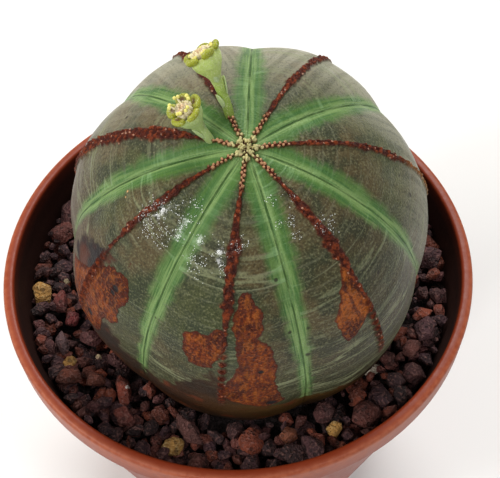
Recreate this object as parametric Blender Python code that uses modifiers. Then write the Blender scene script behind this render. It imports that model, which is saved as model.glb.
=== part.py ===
"""Baseball plant in a round nursery pot: a seven-ribbed globe on its taproot, with rows of knobs
along the ribs, two flowers near the crown, and lava grit with a few paler grains.
Metres, +Z up, with the origin under the middle of the pot, on the surface that it stands on."""

import math
import random

import bmesh
import bpy
from mathutils import Euler, Matrix, Vector

GAP = 0.00035  # between pieces that touch

# The pot
POT_HEIGHT = 0.068
RIM_RADIUS = 0.0425
RIM_WIDTH = 0.0024
RIM_DEPTH = 0.0052
RIM_ROUNDING = 0.0007
LIP_STEP = 0.0010
WALL = 0.0013
FOOT_RADIUS = 0.0290
FOOT_WIDTH = 0.0026
FOOT_RECESS = 0.0022
FLOOR = 0.0016
POT_STEPS = 64
DRAIN_RADIUS = 0.0029
DRAIN_CIRCLE = 0.0170
DRAIN_COUNT = 6

# The globe, in its own frame: its centre is the middle of its widest ring
GLOBE_RADIUS = 0.0295
GLOBE_HALF_HEIGHT = 0.0369
GLOBE_SQUARENESS = 2.15
GLOBE_CENTRE = Vector((0.0020, -0.0037, POT_HEIGHT + 0.0084))
GLOBE_LEAN = math.radians(15.7)  # towards -Y
NECK_RADIUS = 0.0085
ROOT_LENGTH = 0.0200
ROOT_TIP_RADIUS = 0.0012
RIB_AZIMUTHS = [math.radians(a) for a in (-101, -49, 6, 58, 112, 160, 205)]
GROOVE_DEPTH = 0.0015
KNOB_PITCH = 0.0022
KNOB_HEIGHT = 0.00075
KNOB_HALF_WIDTH = 0.0012
KNOBBED_LENGTH = 0.0700  # along a rib, from the crown
KNOB_FADE = 0.0030
HOLLOW_RINGS = 24
HOLLOW_STEPS = 36
ROOT_RINGS = 9
COLUMNS_PER_RIB = 8
CREST_SHARE = 0.62  # the most of a half rib that the knobs' columns take near the crown

# The grit
GRIT_LEVEL = POT_HEIGHT - 0.0095
STONE_RADIUS = 0.0034
STONE_RINGS = 3
STONE_PITCH = 0.0047
STONE_REACH = 1.14  # of its size, how far a stone's corners are from its middle at most
STONE_RISE = 0.28  # of its radius, the most that a stone's middle is over or under the bed
BED_DEPTH = 0.0014  # the bed between the stones, below the grit's level
CHIP_RISE = 0.5  # of its height, a paler grain's middle over the bed
CHIPS = (  # name, azimuth in degrees, distance from the pot's axis, half sizes
    ("pumice_chip_1", 182, 0.0360, (0.0026, 0.0020, 0.0019)),
    ("pumice_chip_2", 207, 0.0350, (0.0015, 0.0013, 0.0014)),
    ("pumice_chip_3", 249, 0.0352, (0.0022, 0.0018, 0.0019)),
    ("pumice_chip_4", 295, 0.0350, (0.0017, 0.0014, 0.0015)),
    ("quartz_grain", 318, 0.0305, (0.0018, 0.0011, 0.0012)),
)

# The flowers, each on a stalk from a knob of one rib
FLOWERS = (  # name, rib, distance from the crown, way the stalk points, its length with the cup
    ("flower_short", 5, 0.0049, Vector((-0.47, 0.21, 0.86)), 0.0066),
    ("flower_tall", 4, 0.0050, Vector((-0.29, 0.56, 0.78)), 0.0092),
)
STALK_RADIUS = 0.00075
CUP_RADIUS = 0.0019
CUP_DEPTH = 0.0030
CUP_HOLLOW_RADIUS = 0.00135
CUP_HOLLOW_DEPTH = 0.0011
FLOWER_STEPS = 10
GLAND_COUNT = 5
FILAMENT_COUNT = 5
FILAMENT_LENGTH = 0.0017
FILAMENT_RADIUS = 0.0003
ANTHER_RADIUS = 0.00045


def clear_scene():
    for obj in list(bpy.data.objects):
        bpy.data.objects.remove(obj)


def new_collection(name):
    made = bpy.data.collections.new(name)
    bpy.context.scene.collection.children.link(made)
    return made


def finish_of(name, colour, roughness):
    made = bpy.data.materials.new(name)
    made.use_nodes = True
    shader = made.node_tree.nodes["Principled BSDF"]
    shader.inputs["Base Color"].default_value = (*colour, 1)
    shader.inputs["Roughness"].default_value = roughness
    shader.inputs["Metallic"].default_value = 0
    return made


def add_object(name, mesh, material, collection):
    obj = bpy.data.objects.new(name, mesh)
    if material:
        mesh.materials.append(material)
    collection.objects.link(obj)
    return obj


def mesh_from(name, bm):
    mesh = bpy.data.meshes.new(name)
    bm.to_mesh(mesh)
    bm.free()
    return mesh


def turned(name, profile, steps, material, collection):
    """A profile of (radius, height) points, down its outer side, turned round Z."""
    bm = bmesh.new()
    points = [bm.verts.new((radius, 0, height)) for radius, height in profile]
    for first, second in zip(points, points[1:]):
        bm.edges.new((first, second))
    obj = add_object(name, mesh_from(name, bm), material, collection)
    screw = obj.modifiers.new("turn", "SCREW")
    screw.steps = screw.render_steps = steps
    screw.use_merge_vertices = True
    screw.merge_threshold = 0.00001
    return obj


def rock(name, half_sizes, roughness, draw, collection):
    """An angular grain: a 20-sided ball with its corners moved in or out."""
    bm = bmesh.new()
    bmesh.ops.create_icosphere(bm, subdivisions=1, radius=1)
    for corner in bm.verts:
        corner.co *= 1 + draw.uniform(-roughness, roughness)
    bmesh.ops.scale(bm, vec=half_sizes, verts=bm.verts)
    return add_object(name, mesh_from(name, bm), None, collection)


def boolean(obj, operation, operand):
    """Adds a Boolean with one object or with a collection's objects."""
    made = obj.modifiers.new(operation.lower(), "BOOLEAN")
    made.operation = operation
    if isinstance(operand, bpy.types.Collection):
        made.operand_type = "COLLECTION"
        made.collection = operand
    else:
        made.object = operand


def apply_modifiers(obj, used):
    """Makes the evaluated shape the object's own mesh, and removes the helpers that it used."""
    graph = bpy.context.evaluated_depsgraph_get()
    obj.data = bpy.data.meshes.new_from_object(obj.evaluated_get(graph))
    obj.modifiers.clear()
    for collection in used:
        for helper in list(collection.objects):
            bpy.data.objects.remove(helper)
        bpy.data.collections.remove(collection)


def fill_voids(obj):
    """Keeps the shell with the most corners, so no void is left sealed between the stones."""
    bm = bmesh.new()
    bm.from_mesh(obj.data)
    left = set(bm.verts)
    shells = []
    while left:
        shell, edge = set(), {left.pop()}
        while edge:
            shell |= edge
            edge = {e.other_vert(v) for v in edge for e in v.link_edges} - shell
        left -= shell
        shells.append(shell)
    shells.sort(key=len)
    bmesh.ops.delete(bm, geom=[v for shell in shells[:-1] for v in shell], context="VERTS")
    bm.to_mesh(obj.data)
    bm.free()


def shade(obj):
    obj.data.shade_smooth()
    obj.data.set_sharp_from_angle(angle=math.radians(35))


def wall_radius(height):
    """The pot's outer radius below the lip, at a height over the ground."""
    share = height / (POT_HEIGHT - RIM_DEPTH)
    return FOOT_RADIUS + (RIM_RADIUS - LIP_STEP - FOOT_RADIUS) * share


def pot_profile():
    floor_top = FOOT_RECESS + FLOOR
    lip_bottom = POT_HEIGHT - RIM_DEPTH
    rim_inner = RIM_RADIUS - RIM_WIDTH
    rounding = RIM_ROUNDING
    return [
        (0, floor_top),
        (wall_radius(floor_top) - WALL - rounding, floor_top),
        (wall_radius(floor_top) - WALL, floor_top + rounding),
        (wall_radius(lip_bottom) - WALL, lip_bottom),
        (rim_inner, POT_HEIGHT - rounding),
        (rim_inner + rounding, POT_HEIGHT),
        (RIM_RADIUS - rounding, POT_HEIGHT),
        (RIM_RADIUS, POT_HEIGHT - rounding),
        (RIM_RADIUS, lip_bottom),
        (wall_radius(lip_bottom), lip_bottom),
        (FOOT_RADIUS, 0),
        (FOOT_RADIUS - FOOT_WIDTH, 0),
        (FOOT_RADIUS - FOOT_WIDTH - rounding, FOOT_RECESS),
        (0, FOOT_RECESS),
    ]


def make_pot(parts, material):
    pot = turned("pot", pot_profile(), POT_STEPS, material, parts)
    drains = new_collection("drains")
    for i in range(DRAIN_COUNT + 1):
        reach = DRAIN_CIRCLE if i else 0
        turn = math.tau * i / DRAIN_COUNT
        bm = bmesh.new()
        bmesh.ops.create_cone(
            bm, cap_ends=True, segments=12, radius1=DRAIN_RADIUS, radius2=DRAIN_RADIUS, depth=4 * FLOOR
        )
        drain = add_object(f"drain_{i}", mesh_from("drain", bm), None, drains)
        drain.location = (reach * math.cos(turn), reach * math.sin(turn), FOOT_RECESS + FLOOR / 2)
    boolean(pot, "DIFFERENCE", drains)
    apply_modifiers(pot, [drains])
    shade(pot)


def globe_profile():
    """(radius, height) points close together, from the crown to the root's tip."""
    points = []
    power = GLOBE_SQUARENESS
    for i in range(361):
        polar = math.pi * i / 360
        side, up = math.sin(polar), math.cos(polar)
        reach = (side**power + abs(up) ** power) ** (-1 / power)
        radius, height = GLOBE_RADIUS * side * reach, GLOBE_HALF_HEIGHT * up * reach
        if height < 0 and radius < NECK_RADIUS:
            break
        points.append((radius, height))
    neck = points[-1][1]
    for i in range(1, 41):
        share = i / 40
        radius = ROOT_TIP_RADIUS + (NECK_RADIUS - ROOT_TIP_RADIUS) * (1 - share) ** 1.5
        points.append((radius, neck - ROOT_LENGTH * share))
    return points


def along(profile, distance):
    """(radius, height, outward normal) at a distance along a profile from its first point."""
    for (r0, z0), (r1, z1) in zip(profile, profile[1:]):
        step = math.hypot(r1 - r0, z1 - z0)
        if distance <= step:
            break
        distance -= step
    share = min(distance / step, 1)
    normal = ((z0 - z1) / step, (r1 - r0) / step)
    return r0 + (r1 - r0) * share, z0 + (z1 - z0) * share, normal


def length_of(profile):
    return sum(math.dist(a, b) for a, b in zip(profile, profile[1:]))


def rib_span(rib):
    """(azimuth of a rib's crest, half the angle to the next rib's crest)."""
    start = RIB_AZIMUTHS[rib % len(RIB_AZIMUTHS)]
    end = RIB_AZIMUTHS[(rib + 1) % len(RIB_AZIMUTHS)]
    return start, ((end - start) % math.tau) / 2


def smooth_step(value):
    value = min(max(value, 0), 1)
    return value * value * (3 - 2 * value)


def globe_frame():
    return Matrix.Translation(GLOBE_CENTRE) @ Matrix.Rotation(GLOBE_LEAN, 4, "X")


def skin_point(profile, distance, column, knob):
    """A point of the skin: its ring is at a distance from the crown, and its column counts round the ribs.
    The skin dips in the grooves, and knobs of a share of the full height stand on the crests."""
    radius, height, normal = along(profile, distance)
    rib, step = divmod(column, COLUMNS_PER_RIB)
    start, half = rib_span(rib)
    groove = COLUMNS_PER_RIB // 2
    from_crest = groove - abs(step - groove)  # 0 on a crest, 4 in a groove
    arc = max(radius * half, 1e-6)
    share = {
        0: 0,
        1: min(KNOB_HALF_WIDTH / 2 / arc, CREST_SHARE / 2),
        2: min(KNOB_HALF_WIDTH / arc, CREST_SHARE),
        3: 0.75 if KNOB_HALF_WIDTH / arc > CREST_SHARE / 2 else 0.5,
        4: 1,
    }[from_crest]
    turn = start + half * (share if step <= groove else 2 - share)
    swell = {0: 1, 1: 0.72}.get(from_crest, 0)
    flat = (globe_frame() @ Vector((radius * math.cos(turn), radius * math.sin(turn), height))).z
    above = smooth_step((flat - GRIT_LEVEL - STONE_RADIUS) / KNOB_FADE)
    groove_depth = GROOVE_DEPTH * smooth_step(radius / (0.6 * GLOBE_RADIUS)) * share**2
    out = KNOB_HEIGHT * swell * knob * above * min(1, radius / (4 * KNOB_HALF_WIDTH)) - groove_depth
    radius, height = radius + normal[0] * out, height + normal[1] * out
    return Vector((radius * math.cos(turn), radius * math.sin(turn), height))


def make_globe(parts, material):
    """A ball whose rings and columns are moved onto the ribbed, knobbed skin and the taproot."""
    draw = random.Random(7)
    profile = globe_profile()
    rings = [KNOB_PITCH / 2 * i for i in range(round(2 * KNOBBED_LENGTH / KNOB_PITCH))]
    rest = length_of(profile) - rings[-1]
    rings += [rings[-1] + rest * (i + 1) / ROOT_RINGS for i in range(ROOT_RINGS)]
    columns = COLUMNS_PER_RIB * len(RIB_AZIMUTHS)
    knobs = {
        (ring, rib): draw.uniform(0.75, 1.15) if ring % 2 else draw.uniform(0.1, 0.3)
        for ring in range(len(rings))
        for rib in range(len(RIB_AZIMUTHS))
    }
    bm = bmesh.new()
    bmesh.ops.create_uvsphere(bm, u_segments=columns, v_segments=len(rings) - 1, radius=1)
    for point in bm.verts:
        ring = round(point.co.angle(Vector((0, 0, 1))) / math.pi * (len(rings) - 1))
        column = round((math.atan2(point.co.y, point.co.x) % math.tau) / math.tau * columns) % columns
        rib = round(column / COLUMNS_PER_RIB) % len(RIB_AZIMUTHS)
        if ring in (0, len(rings) - 1):
            point.co = (0, 0, along(profile, rings[ring])[1])
        else:
            point.co = skin_point(profile, rings[ring], column, knobs[ring, rib])
    globe = add_object("plant_body", mesh_from("plant_body", bm), material, parts)
    globe.matrix_world = globe_frame()
    shade(globe)
    return globe


def hollow_profile():
    """The globe's profile moved out by the gap, every few points, and closed on the axis."""
    profile = globe_profile()
    total = length_of(profile)
    points = []
    for i in range(1, HOLLOW_RINGS + 1):
        radius, height, normal = along(profile, total * i / HOLLOW_RINGS)
        points.append((radius + normal[0] * GAP, height + normal[1] * GAP))
    top = (0, GLOBE_HALF_HEIGHT + GAP)
    return [top, *points, (0, points[-1][1] - GAP)]


def globe_edge(azimuth):
    """How far from the pot's axis the skin is, at the grit's level and a given azimuth."""
    shift = (GRIT_LEVEL - GLOBE_CENTRE.z) / math.cos(GLOBE_LEAN)
    radius = GLOBE_RADIUS * (1 - (abs(shift) / GLOBE_HALF_HEIGHT) ** GLOBE_SQUARENESS) ** (1 / GLOBE_SQUARENESS)
    centre = GLOBE_CENTRE.xy + Vector((0, -math.sin(GLOBE_LEAN) * shift))
    way = Vector((math.cos(azimuth), math.sin(azimuth)))
    middle = centre.dot(way)
    return middle + math.sqrt(radius**2 - (centre - way * middle).length_squared)


def stone_spots(draw):
    """(x, y, size) of each stone, on rings between the skin and the pot's wall, clear of the chips."""
    chips = [
        (Vector((math.cos(math.radians(turn)), math.sin(math.radians(turn)))) * reach, max(half_sizes[:2]))
        for _, turn, reach, half_sizes in CHIPS
    ]
    spots = []
    for ring in range(STONE_RINGS):
        count = round(math.tau * (0.0285 + 0.004 * ring) / STONE_PITCH)
        for i in range(count):
            turn = math.tau * (i + draw.uniform(-0.2, 0.2) + ring / 2) / count
            size = STONE_RADIUS * draw.uniform(0.72, 1.1)
            inner = globe_edge(turn) + 0.4 * size
            outer = wall_radius(GRIT_LEVEL) - WALL - 0.6 * size
            share = ring / (STONE_RINGS - 1) + draw.uniform(-0.1, 0.1)
            spot = Vector((math.cos(turn), math.sin(turn))) * (inner + (outer - inner) * min(share, 1))
            if all((spot - centre).length > 0.95 * size + reach for centre, reach in chips):
                spots.append((*spot, size))
    return spots


def make_grit(parts, chips, material):
    """The filling of the pot, with angular lava stones standing out of its top round the plant,
    and with pockets for the paler grains."""
    draw = random.Random(11)
    floor = FOOT_RECESS + FLOOR + GAP
    level = GRIT_LEVEL - BED_DEPTH
    inside = [(wall_radius(z) - WALL - GAP - RIM_ROUNDING * (z == floor), z) for z in (level, floor)]
    profile = [(0, level), *inside, (0, floor)]
    grit = turned("lava_grit", profile, POT_STEPS, material, parts)
    stones = new_collection("stones")
    for i, (x, y, size) in enumerate(stone_spots(draw)):
        half_sizes = [size * draw.uniform(0.85, 1) for _ in range(3)]
        stone = rock(f"stone_{i}", half_sizes, STONE_REACH - 1, draw, stones)
        stone.location = (x, y, level + size * draw.uniform(-STONE_RISE, STONE_RISE))
        stone.rotation_euler = Euler([draw.uniform(0, math.tau) for _ in range(3)])
    hollows = new_collection("hollows")
    hollow = turned("hollow", hollow_profile(), HOLLOW_STEPS, None, hollows)
    hollow.matrix_world = globe_frame()
    for chip in chips:
        pocket = add_object(f"{chip.name}_pocket", chip.data.copy(), None, hollows)
        pocket.location, pocket.rotation_euler = chip.location, chip.rotation_euler
        nearest = min(corner.co.length for corner in chip.data.vertices)
        pocket.scale = (1 + 1.3 * GAP / nearest,) * 3
    rooms = new_collection("rooms")
    room_profile = [(0, POT_HEIGHT)]
    room_profile += [(wall_radius(z) - WALL - 0.9 * GAP, z) for z in (POT_HEIGHT, 0)]
    room_profile += [(0, 0)]
    room = turned("room", room_profile, POT_STEPS, None, rooms)
    boolean(grit, "UNION", stones)
    boolean(grit, "DIFFERENCE", hollows)
    boolean(grit, "INTERSECT", room)
    apply_modifiers(grit, [stones, hollows, rooms])
    fill_voids(grit)


def make_chips(parts, pumice, quartz):
    """The paler grains, which lie in pockets between the stones."""
    draw = random.Random(3)
    chips = []
    for name, turn, reach, half_sizes in CHIPS:
        chip = rock(name, half_sizes, 0.1, draw, parts)
        chip.data.materials.append(quartz if name == "quartz_grain" else pumice)
        turn = math.radians(turn)
        chip.rotation_euler = Euler((draw.uniform(-0.4, 0.4), 0, turn + math.pi / 2))
        height = GRIT_LEVEL - BED_DEPTH + CHIP_RISE * half_sizes[2]
        chip.location = (reach * math.cos(turn), reach * math.sin(turn), height)
        chips.append(chip)
    return chips


def ball(name, half_sizes, place, collection, segments=7, rings=5):
    bm = bmesh.new()
    bmesh.ops.create_uvsphere(bm, u_segments=segments, v_segments=rings, radius=1)
    bmesh.ops.scale(bm, vec=half_sizes, verts=bm.verts)
    bmesh.ops.transform(bm, matrix=place, verts=bm.verts)
    return add_object(name, mesh_from(name, bm), None, collection)


def rod(name, foot, tip, radius, collection):
    way = tip - foot
    bm = bmesh.new()
    bmesh.ops.create_cone(
        bm, cap_ends=True, segments=6, radius1=radius, radius2=radius, depth=way.length
    )
    place = Matrix.Translation((foot + tip) / 2) @ way.to_track_quat("Z", "Y").to_matrix().to_4x4()
    bmesh.ops.transform(bm, matrix=place, verts=bm.verts)
    return add_object(name, mesh_from(name, bm), None, collection)


def flower_profile(length):
    """Down the hollow of the cup from its rim is up the list: hollow, rim, cup, stalk and foot."""
    stalk_top = length - CUP_DEPTH
    return [
        (0, length - CUP_HOLLOW_DEPTH),
        (CUP_HOLLOW_RADIUS * 0.8, length - CUP_HOLLOW_DEPTH),
        (CUP_HOLLOW_RADIUS, length - CUP_HOLLOW_DEPTH * 0.6),
        (CUP_HOLLOW_RADIUS, length),
        (CUP_RADIUS, length),
        (CUP_RADIUS * 0.97, length - CUP_DEPTH * 0.25),
        (CUP_RADIUS * 0.74, length - CUP_DEPTH * 0.6),
        (STALK_RADIUS * 1.15, stalk_top),
        (STALK_RADIUS, stalk_top * 0.6),
        (STALK_RADIUS * 1.1, stalk_top * 0.2),
        (STALK_RADIUS * 0.95, 0),
        (0, 0),
    ]


def place_flower(obj, foot, way):
    obj.rotation_mode = "QUATERNION"
    obj.rotation_quaternion = way.to_track_quat("Z", "Y")
    obj.location = foot


def foot_on_skin(globe, rib, distance, way):
    """Where a stalk that points along a way starts: a gap over the highest skin under its foot."""
    radius, height, _ = along(globe_profile(), distance)
    turn = RIB_AZIMUTHS[rib]
    inward = globe_frame().inverted()
    below = inward.to_3x3() @ -way
    crest = Vector((radius * math.cos(turn), radius * math.sin(turn), height))
    high = crest - below * 0.01
    side = below.orthogonal().normalized() * STALK_RADIUS
    fall = 0.01
    for i in range(24):
        side.rotate(Matrix.Rotation(math.tau / 12, 3, below))
        found, spot, _, _ = globe.ray_cast(high + side * (1 if i < 12 else 0.5), below)
        if found:
            fall = min(fall, (spot - high).dot(below))
    return globe_frame() @ (high + below * (fall - GAP))


def make_flower(parts, globe, name, rib, distance, way, length, green, yellow):
    """A stalk with two scales and a cup with nectar glands, and the stamens in the cup's hollow."""
    foot = foot_on_skin(globe, rib, distance, way)
    stalk = turned(name, flower_profile(length), FLOWER_STEPS, green, parts)
    place_flower(stalk, foot, way)
    frame = Matrix.LocRotScale(foot, way.to_track_quat("Z", "Y"), None)
    trims = new_collection(f"{name}_trims")
    for i in range(GLAND_COUNT):
        spot = Matrix.Rotation(math.tau * i / GLAND_COUNT, 4, "Z")
        spot @= Matrix.Translation((CUP_RADIUS * 0.93, 0, length))
        spot @= Matrix.Rotation(math.radians(-20), 4, "Y")
        ball(f"gland_{i}", (0.0007, 0.00095, 0.0004), frame @ spot, trims)
    for i, rise in enumerate((0.34, 0.52)):
        spot = Matrix.Rotation(math.radians(60 + 150 * i), 4, "Z")
        spot @= Matrix.Translation((STALK_RADIUS * 0.75, 0, length * rise))
        ball(f"scale_{i}", (0.0005, 0.0007, 0.0013), frame @ spot, trims, segments=6, rings=4)
    boolean(stalk, "UNION", trims)
    apply_modifiers(stalk, [trims])
    shade(stalk)
    make_stamens(parts, name, frame, length, yellow)


def make_stamens(parts, name, frame, length, yellow):
    base = length - CUP_HOLLOW_DEPTH + GAP
    core_radius = CUP_HOLLOW_RADIUS - GAP
    core_place = frame @ Matrix.Translation((0, 0, base + core_radius * 0.75))
    threads = new_collection(f"{name}_threads")
    stamens = ball(
        f"{name}_stamens", (core_radius, core_radius, core_radius * 0.75), core_place, parts, 8, 5
    )
    stamens.data.materials.append(yellow)
    for i in range(FILAMENT_COUNT):
        turn = math.tau * (i + 0.5) / FILAMENT_COUNT
        way = Vector((0.42 * math.cos(turn), 0.42 * math.sin(turn), 0.9))
        foot = Vector((0, 0, base + core_radius * 0.6))
        tip = foot + way * FILAMENT_LENGTH * (1 + 0.15 * (i % 2))
        rod(f"filament_{i}", frame @ foot, frame @ tip, FILAMENT_RADIUS, threads)
        across = Vector((-math.sin(turn), math.cos(turn), 0)) * ANTHER_RADIUS * 0.75
        for side in (-1, 1):
            spot = frame @ Matrix.Translation(tip + across * side)
            ball(f"anther_{i}_{side}", (ANTHER_RADIUS,) * 3, spot, threads, segments=5, rings=4)
    boolean(stamens, "UNION", threads)
    apply_modifiers(stamens, [threads])
    shade(stamens)


def main():
    clear_scene()
    parts = new_collection("baseball_plant")
    terracotta = finish_of("terracotta plastic", (0.50, 0.17, 0.09), 0.45)
    skin = finish_of("grey-green skin", (0.13, 0.17, 0.10), 0.45)
    lava = finish_of("red lava", (0.10, 0.05, 0.04), 0.85)
    pumice = finish_of("ochre pumice", (0.48, 0.33, 0.14), 0.85)
    quartz = finish_of("white quartz", (0.70, 0.65, 0.55), 0.5)
    green = finish_of("flower green", (0.38, 0.48, 0.16), 0.45)
    yellow = finish_of("pollen yellow", (0.80, 0.75, 0.30), 0.6)
    make_pot(parts, terracotta)
    make_grit(parts, make_chips(parts, pumice, quartz), lava)
    globe = make_globe(parts, skin)
    bpy.context.view_layer.update()
    for name, rib, distance, way, length in FLOWERS:
        make_flower(parts, globe, name, rib, distance, way.normalized(), length, green, yellow)


main()
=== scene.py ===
"""The looks of a baseball plant in its nursery pot: skin, corky scars, flowers, lava grit and plastic."""

import math
import random
from collections import namedtuple

import bmesh
import bpy
import numpy as np
from bpy.props import FloatProperty, FloatVectorProperty, IntProperty, PointerProperty
from mathutils import Euler, Matrix, Vector, noise


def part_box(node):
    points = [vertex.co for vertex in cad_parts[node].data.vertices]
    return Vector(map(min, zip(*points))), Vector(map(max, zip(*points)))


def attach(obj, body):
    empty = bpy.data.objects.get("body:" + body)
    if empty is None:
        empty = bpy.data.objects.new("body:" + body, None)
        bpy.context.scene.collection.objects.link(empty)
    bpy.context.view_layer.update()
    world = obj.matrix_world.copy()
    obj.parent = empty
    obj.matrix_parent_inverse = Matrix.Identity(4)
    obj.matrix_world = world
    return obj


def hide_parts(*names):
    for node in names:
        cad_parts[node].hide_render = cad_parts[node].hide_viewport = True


bl_info = {
    "name": "Baseball plant in its pot",
    "version": (1, 0, 0),
    "blender": (4, 5, 0),
    "location": "3D View > Sidebar > Plant",
    "description": "Dresses the packed plant and pot for a picture",
    "category": "Object",
}

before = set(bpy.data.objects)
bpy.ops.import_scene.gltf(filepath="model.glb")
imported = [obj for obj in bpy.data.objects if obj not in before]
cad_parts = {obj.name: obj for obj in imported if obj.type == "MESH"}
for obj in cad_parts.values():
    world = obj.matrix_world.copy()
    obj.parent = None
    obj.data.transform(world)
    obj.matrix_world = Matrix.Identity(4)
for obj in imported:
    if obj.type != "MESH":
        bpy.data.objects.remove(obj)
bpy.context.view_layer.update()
POT_LOW, POT_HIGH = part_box("pot")

MM = 0.001

# The pot, as the solid model has it
RIM_WIDTH = 0.0020
RIM_DEPTH = 0.0052
LIP_STEP = 0.0010
LIP_DEPTH_INSIDE = 0.0016
WALL = 0.0013
FOOT_RADIUS = 0.0290
FOOT_WIDTH = 0.0026
FOOT_SLOPE = 0.0007
FOOT_RECESS = 0.0022
FLOOR = 0.0016
DRAIN_RADIUS = 0.0029
DRAIN_CIRCLE = 0.0170
DRAIN_COUNT = 6
GRIT_LEVEL = POT_HIGH.z - 0.0095
CHIP_NAMES = ("pumice_chip_1", "pumice_chip_2", "pumice_chip_3", "pumice_chip_4", "quartz_grain")
# A pale grain lies this much over its solid, and the left one this much nearer to the middle
CHIP_LIFT = 0.0008
CHIP_SHIFTS = {"pumice_chip_1": 0.0012}
QUARTZ_HALF_SIZES = (0.0019, 0.0010, 0.0010)
# Layers of stones, as height over the grit's level and size against the usual
STONE_LAYERS = ((0.0002, 1.0), (-0.0022, 0.9), (-0.0006, 0.55))
# The grit is heaped up toward the wall by this much, from this far from the axis, over this width
HEAP_HEIGHT = 0.0016
HEAP_START = 0.0290
HEAP_WIDTH = 0.0070
# How often each layer tries to lay a stone
TRIES = 9000
# The bed lies this deep under the grit's level, and this far from the pot
BED_DEPTH = 0.0034
BED_GAP = 0.0004

# The globe, in its own frame, with its centre in the middle of its widest ring
GLOBE_RADIUS = 0.0295
GLOBE_HALF_HEIGHT = 0.0369
GLOBE_SQUARENESS = 2.15
GLOBE_CENTRE = Vector((0.0020, -0.0037, POT_HIGH.z + 0.0084))
GLOBE_LEAN = math.radians(15.7)
NECK_RADIUS = 0.0085
ROOT_LENGTH = 0.0200
ROOT_TIP_RADIUS = 0.0012
NORMAL_STEP = 0.0002
# Down to this distance from the crown the rings are closest, and past it they are wider apart
SHOWN_LENGTH = 0.0620
BURIED_PITCH = 0.0006
# Values that each corner of the skin carries for its finish
SKIN_VALUES = ("across", "groove", "down", "rib", "crust", "bead", "cork", "stain", "brown")
RIB_AZIMUTHS = [math.radians(a) for a in (-101, -49, 6, 58, 112, 160, 205)]
GLOBE_FRAME = Matrix.Translation(GLOBE_CENTRE) @ Matrix.Rotation(GLOBE_LEAN, 4, "X")
# Where the skin's columns stand between a crest, at 0, and a groove, at 1
COLUMN_SHARES = (
    0, 0.017, 0.034, 0.053, 0.072, 0.095, 0.121, 0.16, 0.22, 0.30, 0.40, 0.51, 0.62, 0.73, 0.83, 0.92, 1,
)

# Outlines on the skin, with corners as azimuth in degrees and distance from the crown in mm
CORK_OUTLINES = (
    ((192, 37), (201, 32.7), (206, 29.1), (209, 26.4), (213, 25.6), (214, 23.4), (215, 21.8), (216, 22.6),
     (216, 25.2), (220, 26.2), (222, 28.6), (220, 31.5), (221, 35), (218, 36.8), (216, 36.4), (214, 44),
     (206, 47), (199, 44)),
    ((244, 27.8), (247, 26.1), (252, 26.6), (255, 24.9), (259, 25.1), (260, 27.6), (258, 30.3), (256, 32.8),
     (251, 33.4), (248, 32.9), (246, 30.7)),
    ((264, 18.9), (267, 19), (272, 21.8), (273, 25.1), (270, 26.6), (274, 28.1), (276, 31.8), (275, 37.2),
     (278, 44.4), (271, 46), (262, 42), (258, 38.8), (264, 32.3), (263, 28.3), (262, 23.5)),
    ((309, 20.2), (312, 21.3), (311, 24.1), (312, 26.7), (312, 29.6), (310, 30.2), (306, 31.8), (302, 33.1),
     (300, 33.3), (299, 31.5), (298, 27.5), (302, 25), (305, 22.6)),
    ((42, 46), (50, 49), (53, 56), (44, 58), (38, 52)),
    ((118, 47), (127, 50), (133, 60), (116, 61), (113, 53)),
)
STAIN_OUTLINES = (
    ((189, 36), (192, 30), (198, 27.5), (206, 24.8), (210, 24.6), (208, 27.6), (204, 30.9), (198, 34.8)),
)
# Where the brown of the buried skin begins, as azimuth in degrees and distance from the crown in mm
BROWN_EDGE = (
    (0, 60), (60, 66), (120, 64), (170, 52), (205, 45), (217, 37.5), (224, 41.5), (232, 44.5),
    (239, 43.4), (246, 39.5), (252, 35.5), (257, 34.5), (264, 39.5), (273, 46), (283, 47),
    (291, 48.5), (301, 49.5), (310, 49.5), (330, 52), (360, 60),
)
# For each rib, half the crust's greatest width, and the distance where it thins, in mm
CRESTS = ((0.90, 21.5), (0.90, 20.0), (0.62, 28.0), (0.64, 32.0), (0.72, 32.0), (1.08, 38.0), (0.74, 18.5))
CREST_START_WIDTH = 0.00027
# The crust stays this near to a crest's line
CREST_REACH = 0.0026
# How far round an outline a point's distance to it is worked out
PATCH_MARGIN = 0.0020
# The skin stands this much over the smooth form, and this much more behind
FULLNESS = 0.0005
FULLNESS_BEHIND = 0.0008
# Small tan beads on a crest near the crown
BEADS_END = 0.0048
BEAD_PITCH = 0.00034
BEAD_RADIUS = 0.00023
# Round scars with a pit on the lower crests
RING_PITCH = 0.00165
RING_RADIUS = 0.0008
RING_HEIGHT = 0.00042
# Young blobs in the middle of the crown
HEART_REACH = 0.0024
HEART_HEIGHT = 0.0006
HEART_COUNT = 9
# Spots on the skin, as azimuth in degrees, distance from the crown and radius in mm: holes in the
# cork, dark and tan dots, and wet spots that glitter
HOLES = ((216, 28.4, 0.75), (215.5, 29.6, 0.6), (210, 39.6, 0.8), (271, 33.5, 0.5))
DARK_DOTS = (
    (280.3, 18, 0.45), (282, 26.9, 0.45), (288.5, 27.3, 0.5), (286.7, 32.7, 0.55), (281, 31.4, 0.4),
    (320.8, 26.3, 0.5), (354.6, 28.3, 0.45), (328.8, 42.5, 0.5), (150, 21, 0.45),
)
TAN_DOTS = ((188, 18.2, 0.3), (190.5, 18.6, 0.25))
WET_SPOTS = (
    (214.5, 15, 4.6), (223, 11, 2.6), (245.5, 15.6, 4), (262, 12.5, 1.6), (305, 8.6, 1.5), (300, 11, 1.2),
    (298, 13, 1), (292, 7.5, 1), (290, 10.8, 0.9), (315, 14.5, 2.4),
)

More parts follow.
